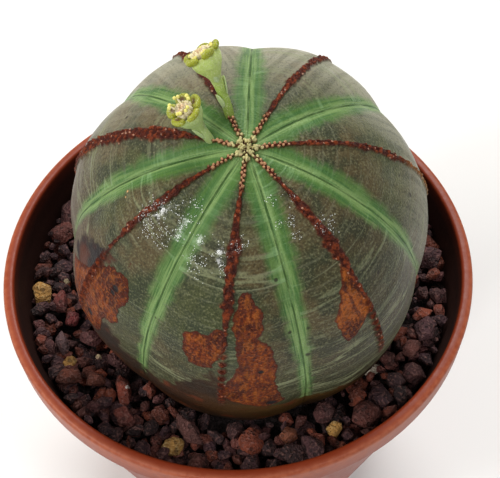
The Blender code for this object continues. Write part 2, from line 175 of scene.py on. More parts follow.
# A flower's rib, distance from the crown, the ways its stalk starts and its cup looks, its length,
# its cup's size, how high its anthers stand over the cup, and how pale its stalk is
Flower = namedtuple("Flower", "rib distance start_way end_way length size anther_reach paleness")
SHORT_WAYS = Vector((-0.50, 0.30, 0.79)), Vector((-0.44, -0.10, 0.89))
TALL_WAYS = Vector((-0.16, 0.50, 0.85)), Vector((-0.50, 0.40, 0.77))
FLOWERS = {
    "flower_short": Flower(5, 0.0049, *SHORT_WAYS, 0.0066, 1.0, 0.0017, 0.6),
    "flower_tall": Flower(4, 0.0050, *TALL_WAYS, 0.0100, 1.12, 0.0006, 0.0),
}
GLAND_COUNT = 5
# Scales on a stalk, as share of its length, turn in degrees and size
STALK_SCALES = ((0.26, 200, 0.9), (0.40, 20, 1.15), (0.52, 120, 0.9), (0.60, 265, 1.1))
FLORET_COUNT = 46
# The turn from each part to the next in an even spread round a middle, in radians
SPREAD_TURN = 2.4

# Camera, from the photograph's perspective
CAMERA_PLACE = Vector((0, -0.0904638, 0.1999708))
CAMERA_RIGHT = Vector((0.99840391, -0.05320557, -0.01894187))
CAMERA_UP = Vector((0.05434897, 0.81394319, 0.57839664))
CAMERA_LENS = 63.12
AIM = Vector((0, -0.005, 0.09))
# Each light's place, width, power and tint
LIGHTS = {
    "key": ((0.10, 0.50, 0.70), 0.45, 5.0, (1, 0.98, 0.95)),
    "fill": ((-0.50, -0.10, 0.5), 0.40, 1.4, (1, 0.97, 0.9)),
    "glint_left": ((-0.41, -0.17, 0.36), 0.06, 0.50, (1, 1, 1)),
    "glint_front": ((-0.22, -0.39, 0.37), 0.06, 0.50, (1, 1, 1)),
    "glint_right": ((0.21, -0.24, 0.51), 0.05, 0.30, (1, 1, 1)),
    "glint_low": ((0.38, -0.24, 0.36), 0.05, 0.25, (0.85, 0.93, 1)),
}

# How fast a speck goes from none to full at its edge
DOT_SHARPNESS = 12.0


def srgb(red, green, blue):
    """A colour seen on a screen, 0 to 255 a channel, as Blender's linear one."""
    channels = [value / 255 for value in (red, green, blue)]
    return tuple(c / 12.92 if c <= 0.04045 else ((c + 0.055) / 1.055) ** 2.4 for c in channels)


def colour_property(name, about, shade):
    return FloatVectorProperty(
        name=name, description=about, default=srgb(*shade), size=3, subtype="COLOR", min=0, max=1
    )


class PotSettings(bpy.types.PropertyGroup):
    steps: IntProperty(name="Steps", description="Facets round the pot", default=160, min=32)
    lip_rounding: FloatProperty(
        name="Lip rounding", description="Radius of the lip's edges", default=0.0009, unit="LENGTH"
    )
    plastic: colour_property("Plastic", "Colour of the moulded plastic", (136, 52, 24))
    # Painted highlight on the outside of the lip
    lip_highlight_and_scar_fade: colour_property("Lit edge", "Colour of the highlighted lip", (166, 88, 58))
    # Painted darker colour for inside the wall, between the lip and the filling
    darkening: colour_property("Darkening", "Colour of the dirt inside the wall", (24, 12, 8))


class GlobeSettings(bpy.types.PropertyGroup):
    ring_pitch: FloatProperty(
        name="Ring pitch", description="Distance between the skin's rings", default=0.00018, unit="LENGTH"
    )
    groove_depth: FloatProperty(
        name="Groove depth", description="Depth of the grooves", default=0.0011, unit="LENGTH"
    )
    crust_height: FloatProperty(
        name="Crust height", description="Height of the crests' crust", default=0.00065, unit="LENGTH"
    )
    band_width: FloatProperty(
        name="Band half width", description="Green on each side of a groove", default=0.0018, unit="LENGTH"
    )
    skin: colour_property("Skin", "Shaded skin between crest and groove", (66, 71, 40))
    # Pale skin of the waxy bloom and of its painted highlight
    skin_violet: colour_property("Violet skin", "Browner skin that has had sun", (84, 72, 46))
    skin_pale: colour_property("Pale skin", "Skin with a waxy bloom", (128, 128, 98))
    green: colour_property("Green", "Young skin along the grooves", (76, 114, 50))
    green_pale: colour_property("Pale green", "Lighter stripes of the green bands", (126, 154, 94))
    line: colour_property("Lines", "Fine pale lines across the skin", (142, 148, 112))
    crust: colour_property("Crust", "Old scars on the crests", (78, 26, 9))
    crust_light: colour_property("Light crust", "Newer scars on the crests", (126, 54, 22))
    cork: colour_property("Cork", "Corky patches", (114, 47, 6))
    cork_dark: colour_property("Dark cork", "Old cork and its edges", (74, 26, 5))


class GritSettings(bpy.types.PropertyGroup):
    stone_size: FloatProperty(
        name="Stone size", description="Half the usual length of a stone", default=0.0030, unit="LENGTH"
    )
    spacing: FloatProperty(
        name="Spacing", description="Least distance of two stones in a layer", default=0.0035, unit="LENGTH"
    )
    seed: IntProperty(name="Seed", description="Another seed lays the stones anew", default=5)
    pumice: colour_property("Pumice", "Colour of the ochre grains", (196, 146, 78))
    quartz: colour_property("Quartz", "Colour of the whitish grain", (214, 200, 178))


class FlowerSettings(bpy.types.PropertyGroup):
    cup_radius: FloatProperty(
        name="Cup radius", description="Radius of the cup's rim", default=0.0019, unit="LENGTH"
    )
    stalk_radius: FloatProperty(
        name="Stalk radius", description="Radius of the stalk", default=0.00070, unit="LENGTH"
    )
    stalk: colour_property("Stalk", "Colour of the stalk", (136, 162, 62))
    cup: colour_property("Cup", "Colour of the cup", (182, 202, 112))
    scale: colour_property("Scales", "Colour of the scales on the stalk", (172, 194, 132))
    gland: colour_property("Glands", "Colour of the nectar glands", (150, 156, 16))
    pit: colour_property("Pits", "Colour of the glands' pits", (84, 34, 8))
    fringe: colour_property("Fringe", "Colour of the fringed scales in the cup", (232, 220, 178))
    pollen: colour_property("Pollen", "Colour of the anthers", (236, 226, 120))


class StageSettings(bpy.types.PropertyGroup):
    floor_radius: FloatProperty(
        name="Floor radius", description="Radius of the pale floor", default=1.5, unit="LENGTH"
    )
    daylight: FloatProperty(name="Daylight", description="Strength of the even light", default=0.33)


class Value:
    """A node's output. Each sign between two values, or a value and a number, makes a Math node."""

    def __init__(self, socket):
        self.socket = socket

    def __add__(self, other):
        return maths("ADD", self, other)

    def __sub__(self, other):
        return maths("SUBTRACT", self, other)

    def __rsub__(self, other):
        return maths("SUBTRACT", other, self)

    def __mul__(self, other):
        return maths("MULTIPLY", self, other)


def plug(node, inputs):
    """Sets a node's sockets to plain numbers and colours, or links them to values."""
    for key, value in inputs.items():
        socket = node.inputs[key]
        if isinstance(value, Value):
            node.id_data.links.new(value.socket, socket)
        else:
            socket.default_value = (*value, 1) if socket.type == "RGBA" else value


def output_of(kind, inputs, output=0, **settings):
    """An output of a new node, which stands in the tree of the values that feed it."""
    tree = next(value.socket.id_data for value in inputs.values() if isinstance(value, Value))
    node = tree.nodes.new(kind)
    for key, value in settings.items():
        setattr(node, key, value)
    plug(node, inputs)
    return Value(node.outputs[output])


def maths(operation, first, second=0.0, clamp=False):
    return output_of("ShaderNodeMath", {0: first, 1: second}, operation=operation, use_clamp=clamp)


def mixed(factor, first, second):
    return output_of("ShaderNodeMix", {0: factor, 6: first, 7: second}, 2, data_type="RGBA")


def layered(colour, *layers):
    """A colour with others laid over it in turn, each as a mask and a tint."""
    for mask, tint in layers:
        colour = mixed(mask, colour, tint)
    return colour


def fade(value, start, end, low=0.0, high=1.0):
    """From low at start to high at end, smoothly."""
    inputs = {0: value, 1: start, 2: end, 3: low, 4: high}
    return output_of("ShaderNodeMapRange", inputs, interpolation_type="SMOOTHSTEP")


def combined(x, y, z=0.0):
    return output_of("ShaderNodeCombineXYZ", {0: x, 1: y, 2: z})


def split(place):
    node = output_of("ShaderNodeSeparateXYZ", {0: place}).socket.node
    return [Value(socket) for socket in node.outputs]


def attribute(tree, name, output="Fac"):
    node = tree.nodes.new("ShaderNodeAttribute")
    node.attribute_name = name
    return Value(node.outputs[output])


def new_group(name, inputs, output):
    """A shader node group of plain numbers and a Vector: (tree, the values given to it, its end)."""
    tree = bpy.data.node_groups.new(name, "ShaderNodeTree")
    for socket in inputs:
        kind = "NodeSocketVector" if socket == "Vector" else "NodeSocketFloat"
        tree.interface.new_socket(socket, in_out="INPUT", socket_type=kind)
    tree.interface.new_socket(output, in_out="OUTPUT", socket_type="NodeSocketFloat")
    start = tree.nodes.new("NodeGroupInput")
    return tree, [Value(start.outputs[socket]) for socket in inputs], tree.nodes.new("NodeGroupOutput")


def clouds(vector, scale, detail):
    return output_of("ShaderNodeTexNoise", {"Vector": vector, "Scale": scale, "Detail": detail})


def mottle_group():
    """Soft patches: Tone runs from 0 to 1 round 0.5."""
    if "Mottle" in bpy.data.node_groups:
        return bpy.data.node_groups["Mottle"]
    tree, given, end = new_group("Mottle", ("Vector", "Scale", "Detail", "Contrast"), "Tone")
    vector, scale, detail, contrast = given
    inputs = {0: clouds(vector, scale, detail) - 0.5, 1: contrast, 2: 0.5}
    plug(end, {0: output_of("ShaderNodeMath", inputs, operation="MULTIPLY_ADD", use_clamp=True)})
    return tree


def specks_group():
    """Small dots: Mask is 1 in a dot of the given size in cells, and Share of the cells have one."""
    if "Specks" in bpy.data.node_groups:
        return bpy.data.node_groups["Specks"]
    tree, given, end = new_group("Specks", ("Vector", "Scale", "Size", "Share"), "Mask")
    vector, scale, size, share = given
    distance = output_of("ShaderNodeTexVoronoi", {"Vector": vector, "Scale": scale}, "Distance")
    dot = maths("MULTIPLY", size - distance, DOT_SHARPNESS, clamp=True)
    colour = Value(distance.socket.node.outputs["Color"])
    draw = output_of("ShaderNodeSeparateColor", {0: colour})
    plug(end, {0: dot * maths("LESS_THAN", draw, share)})
    return tree


def mottle(vector, scale, detail=3.0, contrast=1.6):
    inputs = {"Vector": vector, "Scale": scale, "Detail": detail, "Contrast": contrast}
    return output_of("ShaderNodeGroup", inputs, node_tree=mottle_group())


def specks(vector, scale, size, share):
    inputs = {"Vector": vector, "Scale": scale, "Size": size, "Share": share}
    return output_of("ShaderNodeGroup", inputs, node_tree=specks_group())


def new_finish(name):
    """(material, its Principled shader, Object coordinates)."""
    made = bpy.data.materials.new(name)
    made.use_nodes = True
    nodes = made.node_tree.nodes
    return made, nodes["Principled BSDF"], Value(nodes.new("ShaderNodeTexCoord").outputs["Object"])


def bumped(height, strength, distance):
    return output_of("ShaderNodeBump", {"Strength": strength, "Distance": distance, "Height": height})


def new_object(name, bm, finish):
    """An object at the origin with a bmesh's shape."""
    mesh = bpy.data.meshes.new(name)
    bm.to_mesh(mesh)
    bm.free()
    mesh.materials.append(finish)
    made = bpy.data.objects.new(name, mesh)
    bpy.context.scene.collection.objects.link(made)
    return made


def new_piece(name, bm, finish, replaced=()):
    """A finished smooth piece that rides the root body."""
    bm.normal_update()
    piece = new_object(name, bm, finish)
    piece.data.shade_smooth()
    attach(piece, "root")
    if replaced:
        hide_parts(*replaced)
    return piece


def spun(bm, profile, steps):
    """Turns (radius, height) points into a closed skin round Z."""
    points = [bm.verts.new((radius, 0, height)) for radius, height in profile]
    edges = [bm.edges.new(pair) for pair in zip(points, points[1:])]
    bmesh.ops.spin(
        bm, geom=points + edges, cent=(0, 0, 0), axis=(0, 0, 1), angle=math.tau, steps=steps, use_merge=True
    )
    bmesh.ops.remove_doubles(bm, verts=bm.verts, dist=1e-6)
    bmesh.ops.recalc_face_normals(bm, faces=bm.faces)


def rounded(points, radius, steps=5):
    """A profile with its inner corners rounded."""
    made = [points[0]]
    for before, corner, after in zip(points, points[1:], points[2:]):
        a, b, c = Vector(before), Vector(corner), Vector(after)
        reach = min(radius, 0.45 * (a - b).length, 0.45 * (c - b).length)
        start, end = b + (a - b).normalized() * reach, b + (c - b).normalized() * reach
        for i in range(steps + 1):
            t = i / steps
            made.append(tuple(start * (1 - t) ** 2 + b * 2 * t * (1 - t) + end * t**2))
    return [*made, points[-1]]


def wall_radius(height):
    share = height / (POT_HIGH.z - RIM_DEPTH)
    return FOOT_RADIUS + (POT_HIGH.x - LIP_STEP - FOOT_RADIUS) * share


def pot_finish(settings):
    """Mottled plastic, with a painted highlight on the lip's outside and painted darker inside, between lip
    and filling.
    """
    made, shader, place = new_finish("terracotta plastic")
    top, rim = POT_HIGH.z, POT_HIGH.x
    cloud = mottle(place, 60.0)
    fine = mottle(place, 900.0, 2.0)
    nicks = specks(place, 160.0, 0.13, 0.25)
    x, y, z = split(place)
    radius = maths("SQRT", x * x + y * y)
    high = fade(z, top - 0.006, top - 0.0005)
    # Painted highlight, patchy, along the outside of the lip's top
    lip_highlight_and_scar_fade = high * fade(radius, rim - 0.0013, rim - 0.0002) * fade(fine, 0.2, 0.7, 0.5, 1.0)
    slope = wall_radius(1) - wall_radius(0)
    wall = fade(radius, rim - 0.0016, rim - 0.0022)
    wall = wall * maths("LESS_THAN", radius - z * slope, FOOT_RADIUS - WALL / 2)
    inside = wall * fade(z, top, top - 0.0014)
    # Painted darker, and rougher, inside the wall from just under the lip down past the grit's level
    darkened = inside * maths("GREATER_THAN", z, GRIT_LEVEL - 0.004) * 0.93
    colour = layered(
        settings.plastic,
        (cloud * 0.35, srgb(112, 40, 18)),
        (lip_highlight_and_scar_fade, settings.lip_highlight_and_scar_fade),
        (darkened, settings.darkening),
        (nicks * (high * 0.8), srgb(120, 50, 34)),
    )
    rough = fine * 0.14 + 0.36 + darkened * 0.3
    relief = bumped(fine * 0.25 - nicks * 0.8, 0.35, 0.0004)
    plug(shader, {"Base Color": colour, "Roughness": rough, "Normal": relief, "Specular IOR Level": 0.3})
    return made


class PLANT_OT_pot(bpy.types.Operator):
    """Turns the pot with its rolled lip, foot ring and drain holes"""

    bl_idname = "plant.pot"
    bl_label = "Make the pot"

    def execute(self, context):
        settings = context.scene.plant_pot
        top, rim = POT_HIGH.z, POT_HIGH.x
        floor_top, lip_bottom = FOOT_RECESS + FLOOR, POT_HIGH.z - RIM_DEPTH
        profile = [
            (0, floor_top),
            (wall_radius(floor_top) - WALL, floor_top),
            (wall_radius(lip_bottom) - WALL, lip_bottom),
            (rim - RIM_WIDTH, top - LIP_DEPTH_INSIDE),
            (rim - RIM_WIDTH, top),
            (rim, top),
            (rim, lip_bottom),
            (wall_radius(lip_bottom), lip_bottom),
            (FOOT_RADIUS, 0),
            (FOOT_RADIUS - FOOT_WIDTH, 0),
            (FOOT_RADIUS - FOOT_WIDTH - FOOT_SLOPE, FOOT_RECESS),
            (0, FOOT_RECESS),
        ]
        bm = bmesh.new()
        spun(bm, rounded(profile, settings.lip_rounding), settings.steps)
        pot = new_piece("pot_shell", bm, pot_finish(settings), ["pot"])
        drains = bmesh.new()
        for i in range(DRAIN_COUNT + 1):
            reach, turn = (DRAIN_CIRCLE if i else 0), math.tau * i / DRAIN_COUNT
            spot = Matrix.Translation(around(reach, turn, FOOT_RECESS + FLOOR / 2))
            bmesh.ops.create_cone(
                drains,
                cap_ends=True,
                segments=32,
                radius1=DRAIN_RADIUS,
                radius2=DRAIN_RADIUS,
                depth=4 * FLOOR,
                matrix=spot,
            )
        cut(pot, drains)
        pot.data.set_sharp_from_angle(angle=math.radians(50))
        return {"FINISHED"}


def cut(piece, cutter_bm):
    """Takes a cutter's shape out of a piece, and leaves the result as the piece's own mesh."""
    mesh = bpy.data.meshes.new("cutter")
    cutter_bm.to_mesh(mesh)
    cutter_bm.free()
    cutter = bpy.data.objects.new("cutter", mesh)
    bpy.context.scene.collection.objects.link(cutter)
    made = piece.modifiers.new("cut", "BOOLEAN")
    made.operation, made.object = "DIFFERENCE", cutter
    graph = bpy.context.evaluated_depsgraph_get()
    piece.data = bpy.data.meshes.new_from_object(piece.evaluated_get(graph))
    piece.modifiers.clear()
    bpy.data.objects.remove(cutter)


def globe_profile():
    """(radius, height) points close together, from the crown to the root's tip."""
    points, power = [], GLOBE_SQUARENESS
    for i in range(721):
        polar = math.pi * i / 720
        side, up = math.sin(polar), math.cos(polar)
        reach = (side**power + abs(up) ** power) ** (-1 / power)
        radius, height = GLOBE_RADIUS * side * reach, GLOBE_HALF_HEIGHT * up * reach
        if height < 0 and radius < NECK_RADIUS:
            break
        points.append((radius, height))
    neck = points[-1][1]
    for i in range(1, 41):
        share = i / 40
        radius = ROOT_TIP_RADIUS + (NECK_RADIUS - ROOT_TIP_RADIUS) * (1 - share) ** 1.5
        points.append((radius, neck - ROOT_LENGTH * share))
    return np.array(points)


class GlobeLine:
    """The globe's profile by distance from the crown."""

    def __init__(self):
        self.points = globe_profile()
        steps = np.linalg.norm(np.diff(self.points, axis=0), axis=1)
        self.distances = np.concatenate([[0], np.cumsum(steps)])
        self.length = float(self.distances[-1])

    def at(self, distance):
        """(radius, height, outward normal's radius and height)."""
        radius, height = self.point(distance)
        ahead, behind = self.point(distance + NORMAL_STEP), self.point(max(distance - NORMAL_STEP, 0))
        aside, down = (after - before for after, before in zip(ahead, behind))
        size = math.hypot(aside, down) or 1
        return radius, height, (-down / size, aside / size)

    def point(self, distance):
        return [float(np.interp(distance, self.distances, self.points[:, i])) for i in (0, 1)]

    def spot(self, azimuth, distance, out=0.0):
        """A point of the globe's frame, on its smooth form or over it."""
        radius, height, normal = self.at(distance)
        radius, height = radius + normal[0] * out, height + normal[1] * out
        return around(radius, azimuth, height)


def around(radius, azimuth, height=0.0):
    """The point at a distance from the axis, an azimuth and a height."""
    return Vector((radius * math.cos(azimuth), radius * math.sin(azimuth), height))


def smooth_step(value):
    value = min(max(value, 0.0), 1.0)
    return value * value * (3 - 2 * value)


def turned(angle):
    """The same angle within half a turn to either side."""
    return (angle + math.pi) % math.tau - math.pi


def dome(distance):
    """The height of a round dome at a distance from its middle, as shares of its radius."""
    return math.sqrt(max(0, 1 - distance * distance))


def heaped(reach):
    """How much higher the grit lies toward the pot's wall."""
    return HEAP_HEIGHT * smooth_step((reach - HEAP_START) / HEAP_WIDTH)


class Patch:
    """An outline on the skin, laid flat round its middle."""

    def __init__(self, line, outline):
        self.middle = math.radians(sum(azimuth for azimuth, _ in outline) / len(outline))
        self.corners = [self.flat(math.radians(a), s * MM, line.at(s * MM)[0]) for a, s in outline]
        self.low = [min(corner[i] for corner in self.corners) - PATCH_MARGIN for i in (0, 1)]
        self.high = [max(corner[i] for corner in self.corners) + PATCH_MARGIN for i in (0, 1)]

    def flat(self, azimuth, distance, radius):
        return Vector((turned(azimuth - self.middle) * radius, distance))

    def cover(self, azimuth, distance, radius):
        """How far inside the outline a point is, in mm, and below 0 outside it."""
        point = self.flat(azimuth, distance, radius)
        if any(not low < value < high for low, value, high in zip(self.low, point, self.high)):
            return -PATCH_MARGIN / MM
        nearest, inside = PATCH_MARGIN, False
        for start, end in zip(self.corners, [*self.corners[1:], self.corners[0]]):
            way = end - start
            share = min(max((point - start).dot(way) / way.length_squared, 0), 1)
            nearest = min(nearest, (point - start - way * share).length)
            if (start.y > point.y) != (end.y > point.y):
                inside ^= point.x < start.x + way.x * (point.y - start.y) / way.y
        return nearest / MM if inside else -nearest / MM


def crust_width(rib, distance):
    """Half the width of the crust on a crest, in metres."""
    widest, thinning = CRESTS[rib]
    wave = noise.noise(Vector((distance * 260, rib * 7.7, 0)))
    grown = smooth_step((distance - 0.004) / 0.011)
    width = CREST_START_WIDTH + (widest * MM - CREST_START_WIDTH) * grown
    width *= 1 - 0.55 * smooth_step((distance / MM - thinning) / 3)
    return width * (1 + 0.5 * wave)


def bead_height(rib, across, distance):
    """The tan beads of a crest near the crown, 0 to 1, more or less in a row."""
    best = 0.0
    first = round(distance / BEAD_PITCH)
    for index in range(first - 2, first + 3):
        aside = (index % 2 - 0.5) * 0.00036 + 0.00022 * noise.noise(Vector((index * 3.1, rib * 5.3, 1)))
        along = index * BEAD_PITCH + 0.00020 * noise.noise(Vector((index * 2.3, rib * 4.1, 8)))
        size = BEAD_RADIUS * (1 + 0.5 * noise.noise(Vector((index * 1.7, rib * 2.9, 4))))
        off = math.hypot(distance - along, across - aside) / size
        best = max(best, dome(off))
    return best


def heart_height(place):
    """The young blobs in the middle of the crown, each a small dome."""
    best = 0.0
    for i in range(HEART_COUNT):
        turn, reach = i * SPREAD_TURN + 0.5, 0.00053 * math.sqrt(i + 0.35)
        size = 0.00042 + 0.00016 * noise.noise(Vector((i * 3.7, 0.4, 2.1)))
        off = math.hypot(place.x - reach * math.cos(turn), place.y - reach * math.sin(turn)) / size
        best = max(best, dome(off))
    return best


def ring_scar_height(across, distance):
    """(height, closeness) of the round scars with a pit on the lower crests."""
    middle = round(distance / RING_PITCH) * RING_PITCH
    reach = math.hypot(distance - middle, across) / RING_RADIUS
    rim = math.exp(-(((reach - 0.62) / 0.24) ** 2))
    return RING_HEIGHT * rim, max(0, 1 - reach)


class SkinPoint:
    """What the skin is at one corner: its place, and the values that its finish reads."""

    def __init__(self, line, settings, rib, share, side, distance, patches):
        radius, height, normal = line.at(distance)
        start, end = RIB_AZIMUTHS[rib], RIB_AZIMUTHS[(rib + side) % len(RIB_AZIMUTHS)]
        half = ((end - start) * side % math.tau) / 2
        self.azimuth = start + side * half * share
        self.across = radius * half * share
        self.groove = radius * half * (1 - share)
        self.distance = distance
        smooth = around(radius, self.azimuth, height)
        self.crust, self.bead = 0.0, 0.0
        out = -settings.groove_depth * smooth_step(radius / (0.6 * GLOBE_RADIUS)) * share**2
        back = max(0.0, math.sin(self.azimuth)) * smooth_step(distance / 0.012)
        out += (FULLNESS + FULLNESS_BEHIND * back) * smooth_step((0.055 - distance) / 0.015)
        out += 0.00006 * noise.noise(Vector((distance * 700, rib * 9.1, self.across * 60)))
        out += 0.00025 * noise.noise(smooth * 120)
        buried = (GLOBE_FRAME @ smooth).z < GRIT_LEVEL - 0.004
        self.cork, self.stain = (
            max(patch.cover(self.azimuth, distance, radius) for patch in group) for group in patches
        )
        if not buried:
            out += self.scarred(rib, side, settings, smooth)
        radius, height = radius + normal[0] * out, height + normal[1] * out
        self.place = around(radius, self.azimuth, height)

    def scarred(self, rib, side, settings, smooth):
        """How far cork, crust, beads, ring scars and the crown's heart stand out here."""
        across, distance = self.across * side, self.distance
        out = 0.0
        if self.cork > -1:
            fibres = noise.noise(Vector((distance * 500, self.azimuth * 70, 3)))
            out += smooth_step(self.cork + 0.4) * (0.00010 + 0.00012 * fibres)
        width = crust_width(rib, distance)
        if self.across < CREST_REACH:
            edge = 0.5 * noise.noise(smooth * 1100)
            inside = smooth_step((1 - self.across / width + edge) / 0.3)
            young = 1 - smooth_step((distance - BEADS_END) / 0.0016)
            old = smooth_step((distance / MM - CRESTS[rib][1] - 6) / 3)
            lip_highlight_and_scar_fade = 1 - smooth_step((distance - 0.040) / 0.006)
            cells, _ = noise.voronoi(smooth * 1650)
            nodules = 1 - min(cells[0] * 1.45, 1)
            bead = bead_height(rib, across, distance) if young > 0 else 0
            nodules = nodules * (1 - young) + bead * young
            inside = max(inside, min(1, 3 * bead * young))
            scar, ring = (value * lip_highlight_and_scar_fade for value in ring_scar_height(across, distance))
            out += old * scar + (1 - old) * inside * settings.crust_height * (0.3 + 0.7 * nodules)
            self.bead = (1 - old) * inside * nodules + 0.6 * old * ring
            self.crust = max(inside * (1 - old), old * min(1, ring * 3))
        if distance < HEART_REACH:
            heart = heart_height(smooth)
            out += HEART_HEIGHT * heart
            self.bead, self.crust = max(self.bead, heart), max(self.crust, min(1, heart * 3))
        return out


def skin_finish(settings):
    """Grey skin with fine lines, green bands along the grooves, crusty crests and corky patches."""
    made, shader, place = new_finish("grey-green skin")
    across, groove, down, rib, crust, bead, cork, stain, brown = (
        attribute(made.node_tree, name) for name in SKIN_VALUES
    )
    violet = mottle(place, 70.0, 4.0, 2.4)
    cloud = mottle(place, 260.0, 5.0, 2.0)
    grains = mottle(place, 3200.0, 2.0, 2.4)
    lines, hatch = line_masks(down, across, rib)
    skin = skin_colour(settings, place, down, across, rib, violet, cloud)
    skin = layered(
        skin,
        (lines * fade(down, 0.006, 0.024, 0.2, 0.7), settings.line),
        (hatch * 0.16, srgb(150, 152, 124)),
        (fade(grains, 0.52, 1.0, 0.0, 0.4), srgb(132, 132, 98)),
        (fade(grains, 0.46, 0.0, 0.0, 0.5), srgb(26, 30, 18)),
    )

    band, green = green_band(settings, place, down, groove, hatch, rib)
    green = mixed(lines * 0.35, green, srgb(150, 186, 134))
    # Painted shade, dark green, along the fine crease at the bottom of each groove
    furrow = fade(groove, 0.00020, 0.00004) * fade(down, 0.0015, 0.004)
    furrow = furrow * fade(cloud, 0.2, 0.6, 0.35, 0.8)
    dots = maths("MAXIMUM", specks(place, 420.0, 0.12, 0.05), near_spots(place, DARK_DOTS))
    colour = layered(
        skin,
        (band, green),
        (furrow, srgb(36, 72, 22)),
        (dots * 0.85, srgb(34, 24, 16)),
        (near_spots(place, TAN_DOTS), srgb(232, 176, 118)),
    )

    ragged = mottle(place, 560.0, 7.0, 1.8) - 0.5
    stain = fade(stain + ragged * 2.2, -0.6, 0.6, 0.0, 0.93)
    stain_tint = mixed(fade(cloud, 0.3, 0.75), srgb(26, 20, 26), srgb(78, 34, 18))
    x = split(place)[0]
    brown = fade(brown + ragged * 5.5, -0.9, 1.1, 0.0, 0.95)
    brown_tint = layered(
        srgb(54, 25, 6),
        (fade(x, -0.012, 0.008), srgb(78, 52, 12)),
        (fade(violet, 0.3, 0.75), srgb(30, 15, 5)),
        (fade(cloud, 0.6, 0.9, 0.0, 0.8), srgb(96, 40, 12)),
    )
    cork = cork + ragged
    corky = fade(cork, -0.10, 0.08)
    # Holes in the cork, painted dark for the shade inside them
    holes = specks(place, 260.0, 0.26, 0.06) * fade(cork, 0.3, 0.6)
    holes = maths("MAXIMUM", holes, near_spots(place, HOLES))
    wet = wet_mask(place)
    # Painted glints: near-white specks on the wet spots
    painted_glints = specks(place, 4600.0, 0.38, wet * 0.5)
    colour = layered(
        colour,
        (stain, stain_tint),
        (brown, brown_tint),
        (corky, cork_colour(settings, place, down, across, cork)),
        (holes, srgb(30, 22, 24)),
        (crust, crust_colour(settings, place, down, bead)),
        (painted_glints * 0.85, srgb(226, 230, 226)),
    )

    rubble = maths("MAXIMUM", crust, corky)
    rough = fade(mottle(place, 95.0, 1.0, 3.0), 0.35, 0.7, 0.48, 0.36)
    rough = rough + rubble * 0.18 + maths("MAXIMUM", stain, brown) * 0.22 - wet * 0.30
    relief = grains * 0.5 + lines * 0.5 - furrow * 1.4 - holes * 6.0
    relief = relief + mottle(place, 1500.0, 3.0, 2.4) * rubble * 3.0
    relief = relief + mottle(place, 4200.0, 1.0, 2.4) * wet
    inputs = {"Base Color": colour, "Roughness": rough, "Normal": bumped(relief, 0.8, 0.00016)}
    inputs |= {"Specular IOR Level": 0.2, "Coat Weight": wet * 0.35, "Coat Roughness": 0.12}
    plug(shader, inputs)
    return made


def skin_colour(settings, place, down, across, rib, violet, cloud):
    """Skin with a waxy bloom and painted highlights to the right and behind, and painted shade, browner,
    below, at the right front and at the left.
    """
    x, y, _ = split(place)
    streaks = mottle(combined(down * 60.0, across * 900.0, rib), 1.0, 3.0, 2.6)
    # Waxy bloom, partly painted highlight, on the right and the back
    bloom_and_highlight = fade(x + y * 0.55, 0.005, 0.030) * fade(violet, 0.8, 0.35, 0.35, 0.7)
    return layered(
        settings.skin,
        (fade(violet, 0.35, 0.7), settings.skin_violet),
        (fade(cloud, 0.3, 0.75, 0.0, 0.8), srgb(44, 52, 34)),
        (bloom_and_highlight * fade(streaks, 0.15, 0.7, 0.45, 1.15), settings.skin_pale),
        # Painted reflection, in pale streaks, along the right edge
        (fade(x, 0.023, 0.033) * fade(streaks, 0.2, 0.6, 0.3, 0.8), srgb(172, 168, 146)),
        # Painted sheen, in pale streaks, over the back
        (fade(y, -0.012, 0.018) * fade(streaks, 0.2, 0.65, 0.6, 1.0), srgb(182, 178, 156)),
        # Painted shade, browner, lower down the globe
        (fade(down, 0.024, 0.042, 0.0, 0.5), srgb(50, 46, 24)),
        # Painted shade on the right front
        (fade(x, 0.006, 0.018) * fade(y, -0.015, -0.024, 0.0, 0.5), srgb(40, 38, 20)),
        # Painted shade, browner, toward the left edge
        (fade(x, -0.017, -0.026, 0.0, 0.8), srgb(74, 48, 22)),
    )


def green_band(settings, place, down, groove, hatch, rib):
    """(mask, colour) of the green on both sides of a groove."""
    edge = groove + ((mottle(place, 420.0) - 0.5) * 0.0012 + (hatch - 0.5) * 0.0004)
    wide = settings.band_width
    half = fade(down, 0.010, 0.042, wide, 0.30 * wide)
    band = 1.0 - fade(edge, half - 0.0007, half + 0.0008)
    band = band * fade(down, 0.056, 0.044) * fade(groove, 0.0, 0.0022, 1.0, 0.8)
    band = band * fade(split(place)[0], -0.027, -0.021, 0.4, 1.0)
    streaks = mottle(combined(down * 160.0, groove * 2600.0, rib), 1.0, 3.0, 2.2)
    core = fade(groove, 0.0011, 0.0002) * fade(streaks, 0.7, 0.3, 0.3, 0.95)
    paling = fade(down, 0.010, 0.026) * fade(streaks, 0.75, 0.3, 0.0, 0.8)
    return band, layered(
        settings.green,
        (fade(streaks, 0.2, 0.8), srgb(62, 104, 50)),
        (core, settings.green_pale),
        (paling, settings.green_pale),
        (hatch * 0.14, srgb(140, 182, 122)),
    )


def near_spots(place, spots):
    """1 in the middle of a spot of the skin, and 0 from its radius on."""
    line, mask = GlobeLine(), None
    for azimuth, distance, radius in spots:
        azimuth = math.radians(azimuth)
        gaps = sorted(abs(turned(azimuth - crest)) for crest in RIB_AZIMUTHS)
        share = 2 * gaps[0] / (gaps[0] + gaps[1])
        middle = GLOBE_FRAME @ line.spot(azimuth, distance * MM, 0.0006 - 0.0011 * share**2)
        inputs = {0: place, 1: tuple(middle)}
        reach = output_of("ShaderNodeVectorMath", inputs, "Value", operation="DISTANCE")
        spot = fade(reach, radius * MM, 0.5 * radius * MM)
        mask = maths("MAXIMUM", mask, spot) if mask else spot
    return mask


def wet_mask(place):
    """1 in the middle of a wet spot, 0 on dry skin."""
    return near_spots(place, WET_SPOTS) * fade(mottle(place, 600.0, 3.0, 3.0), 0.25, 0.6)


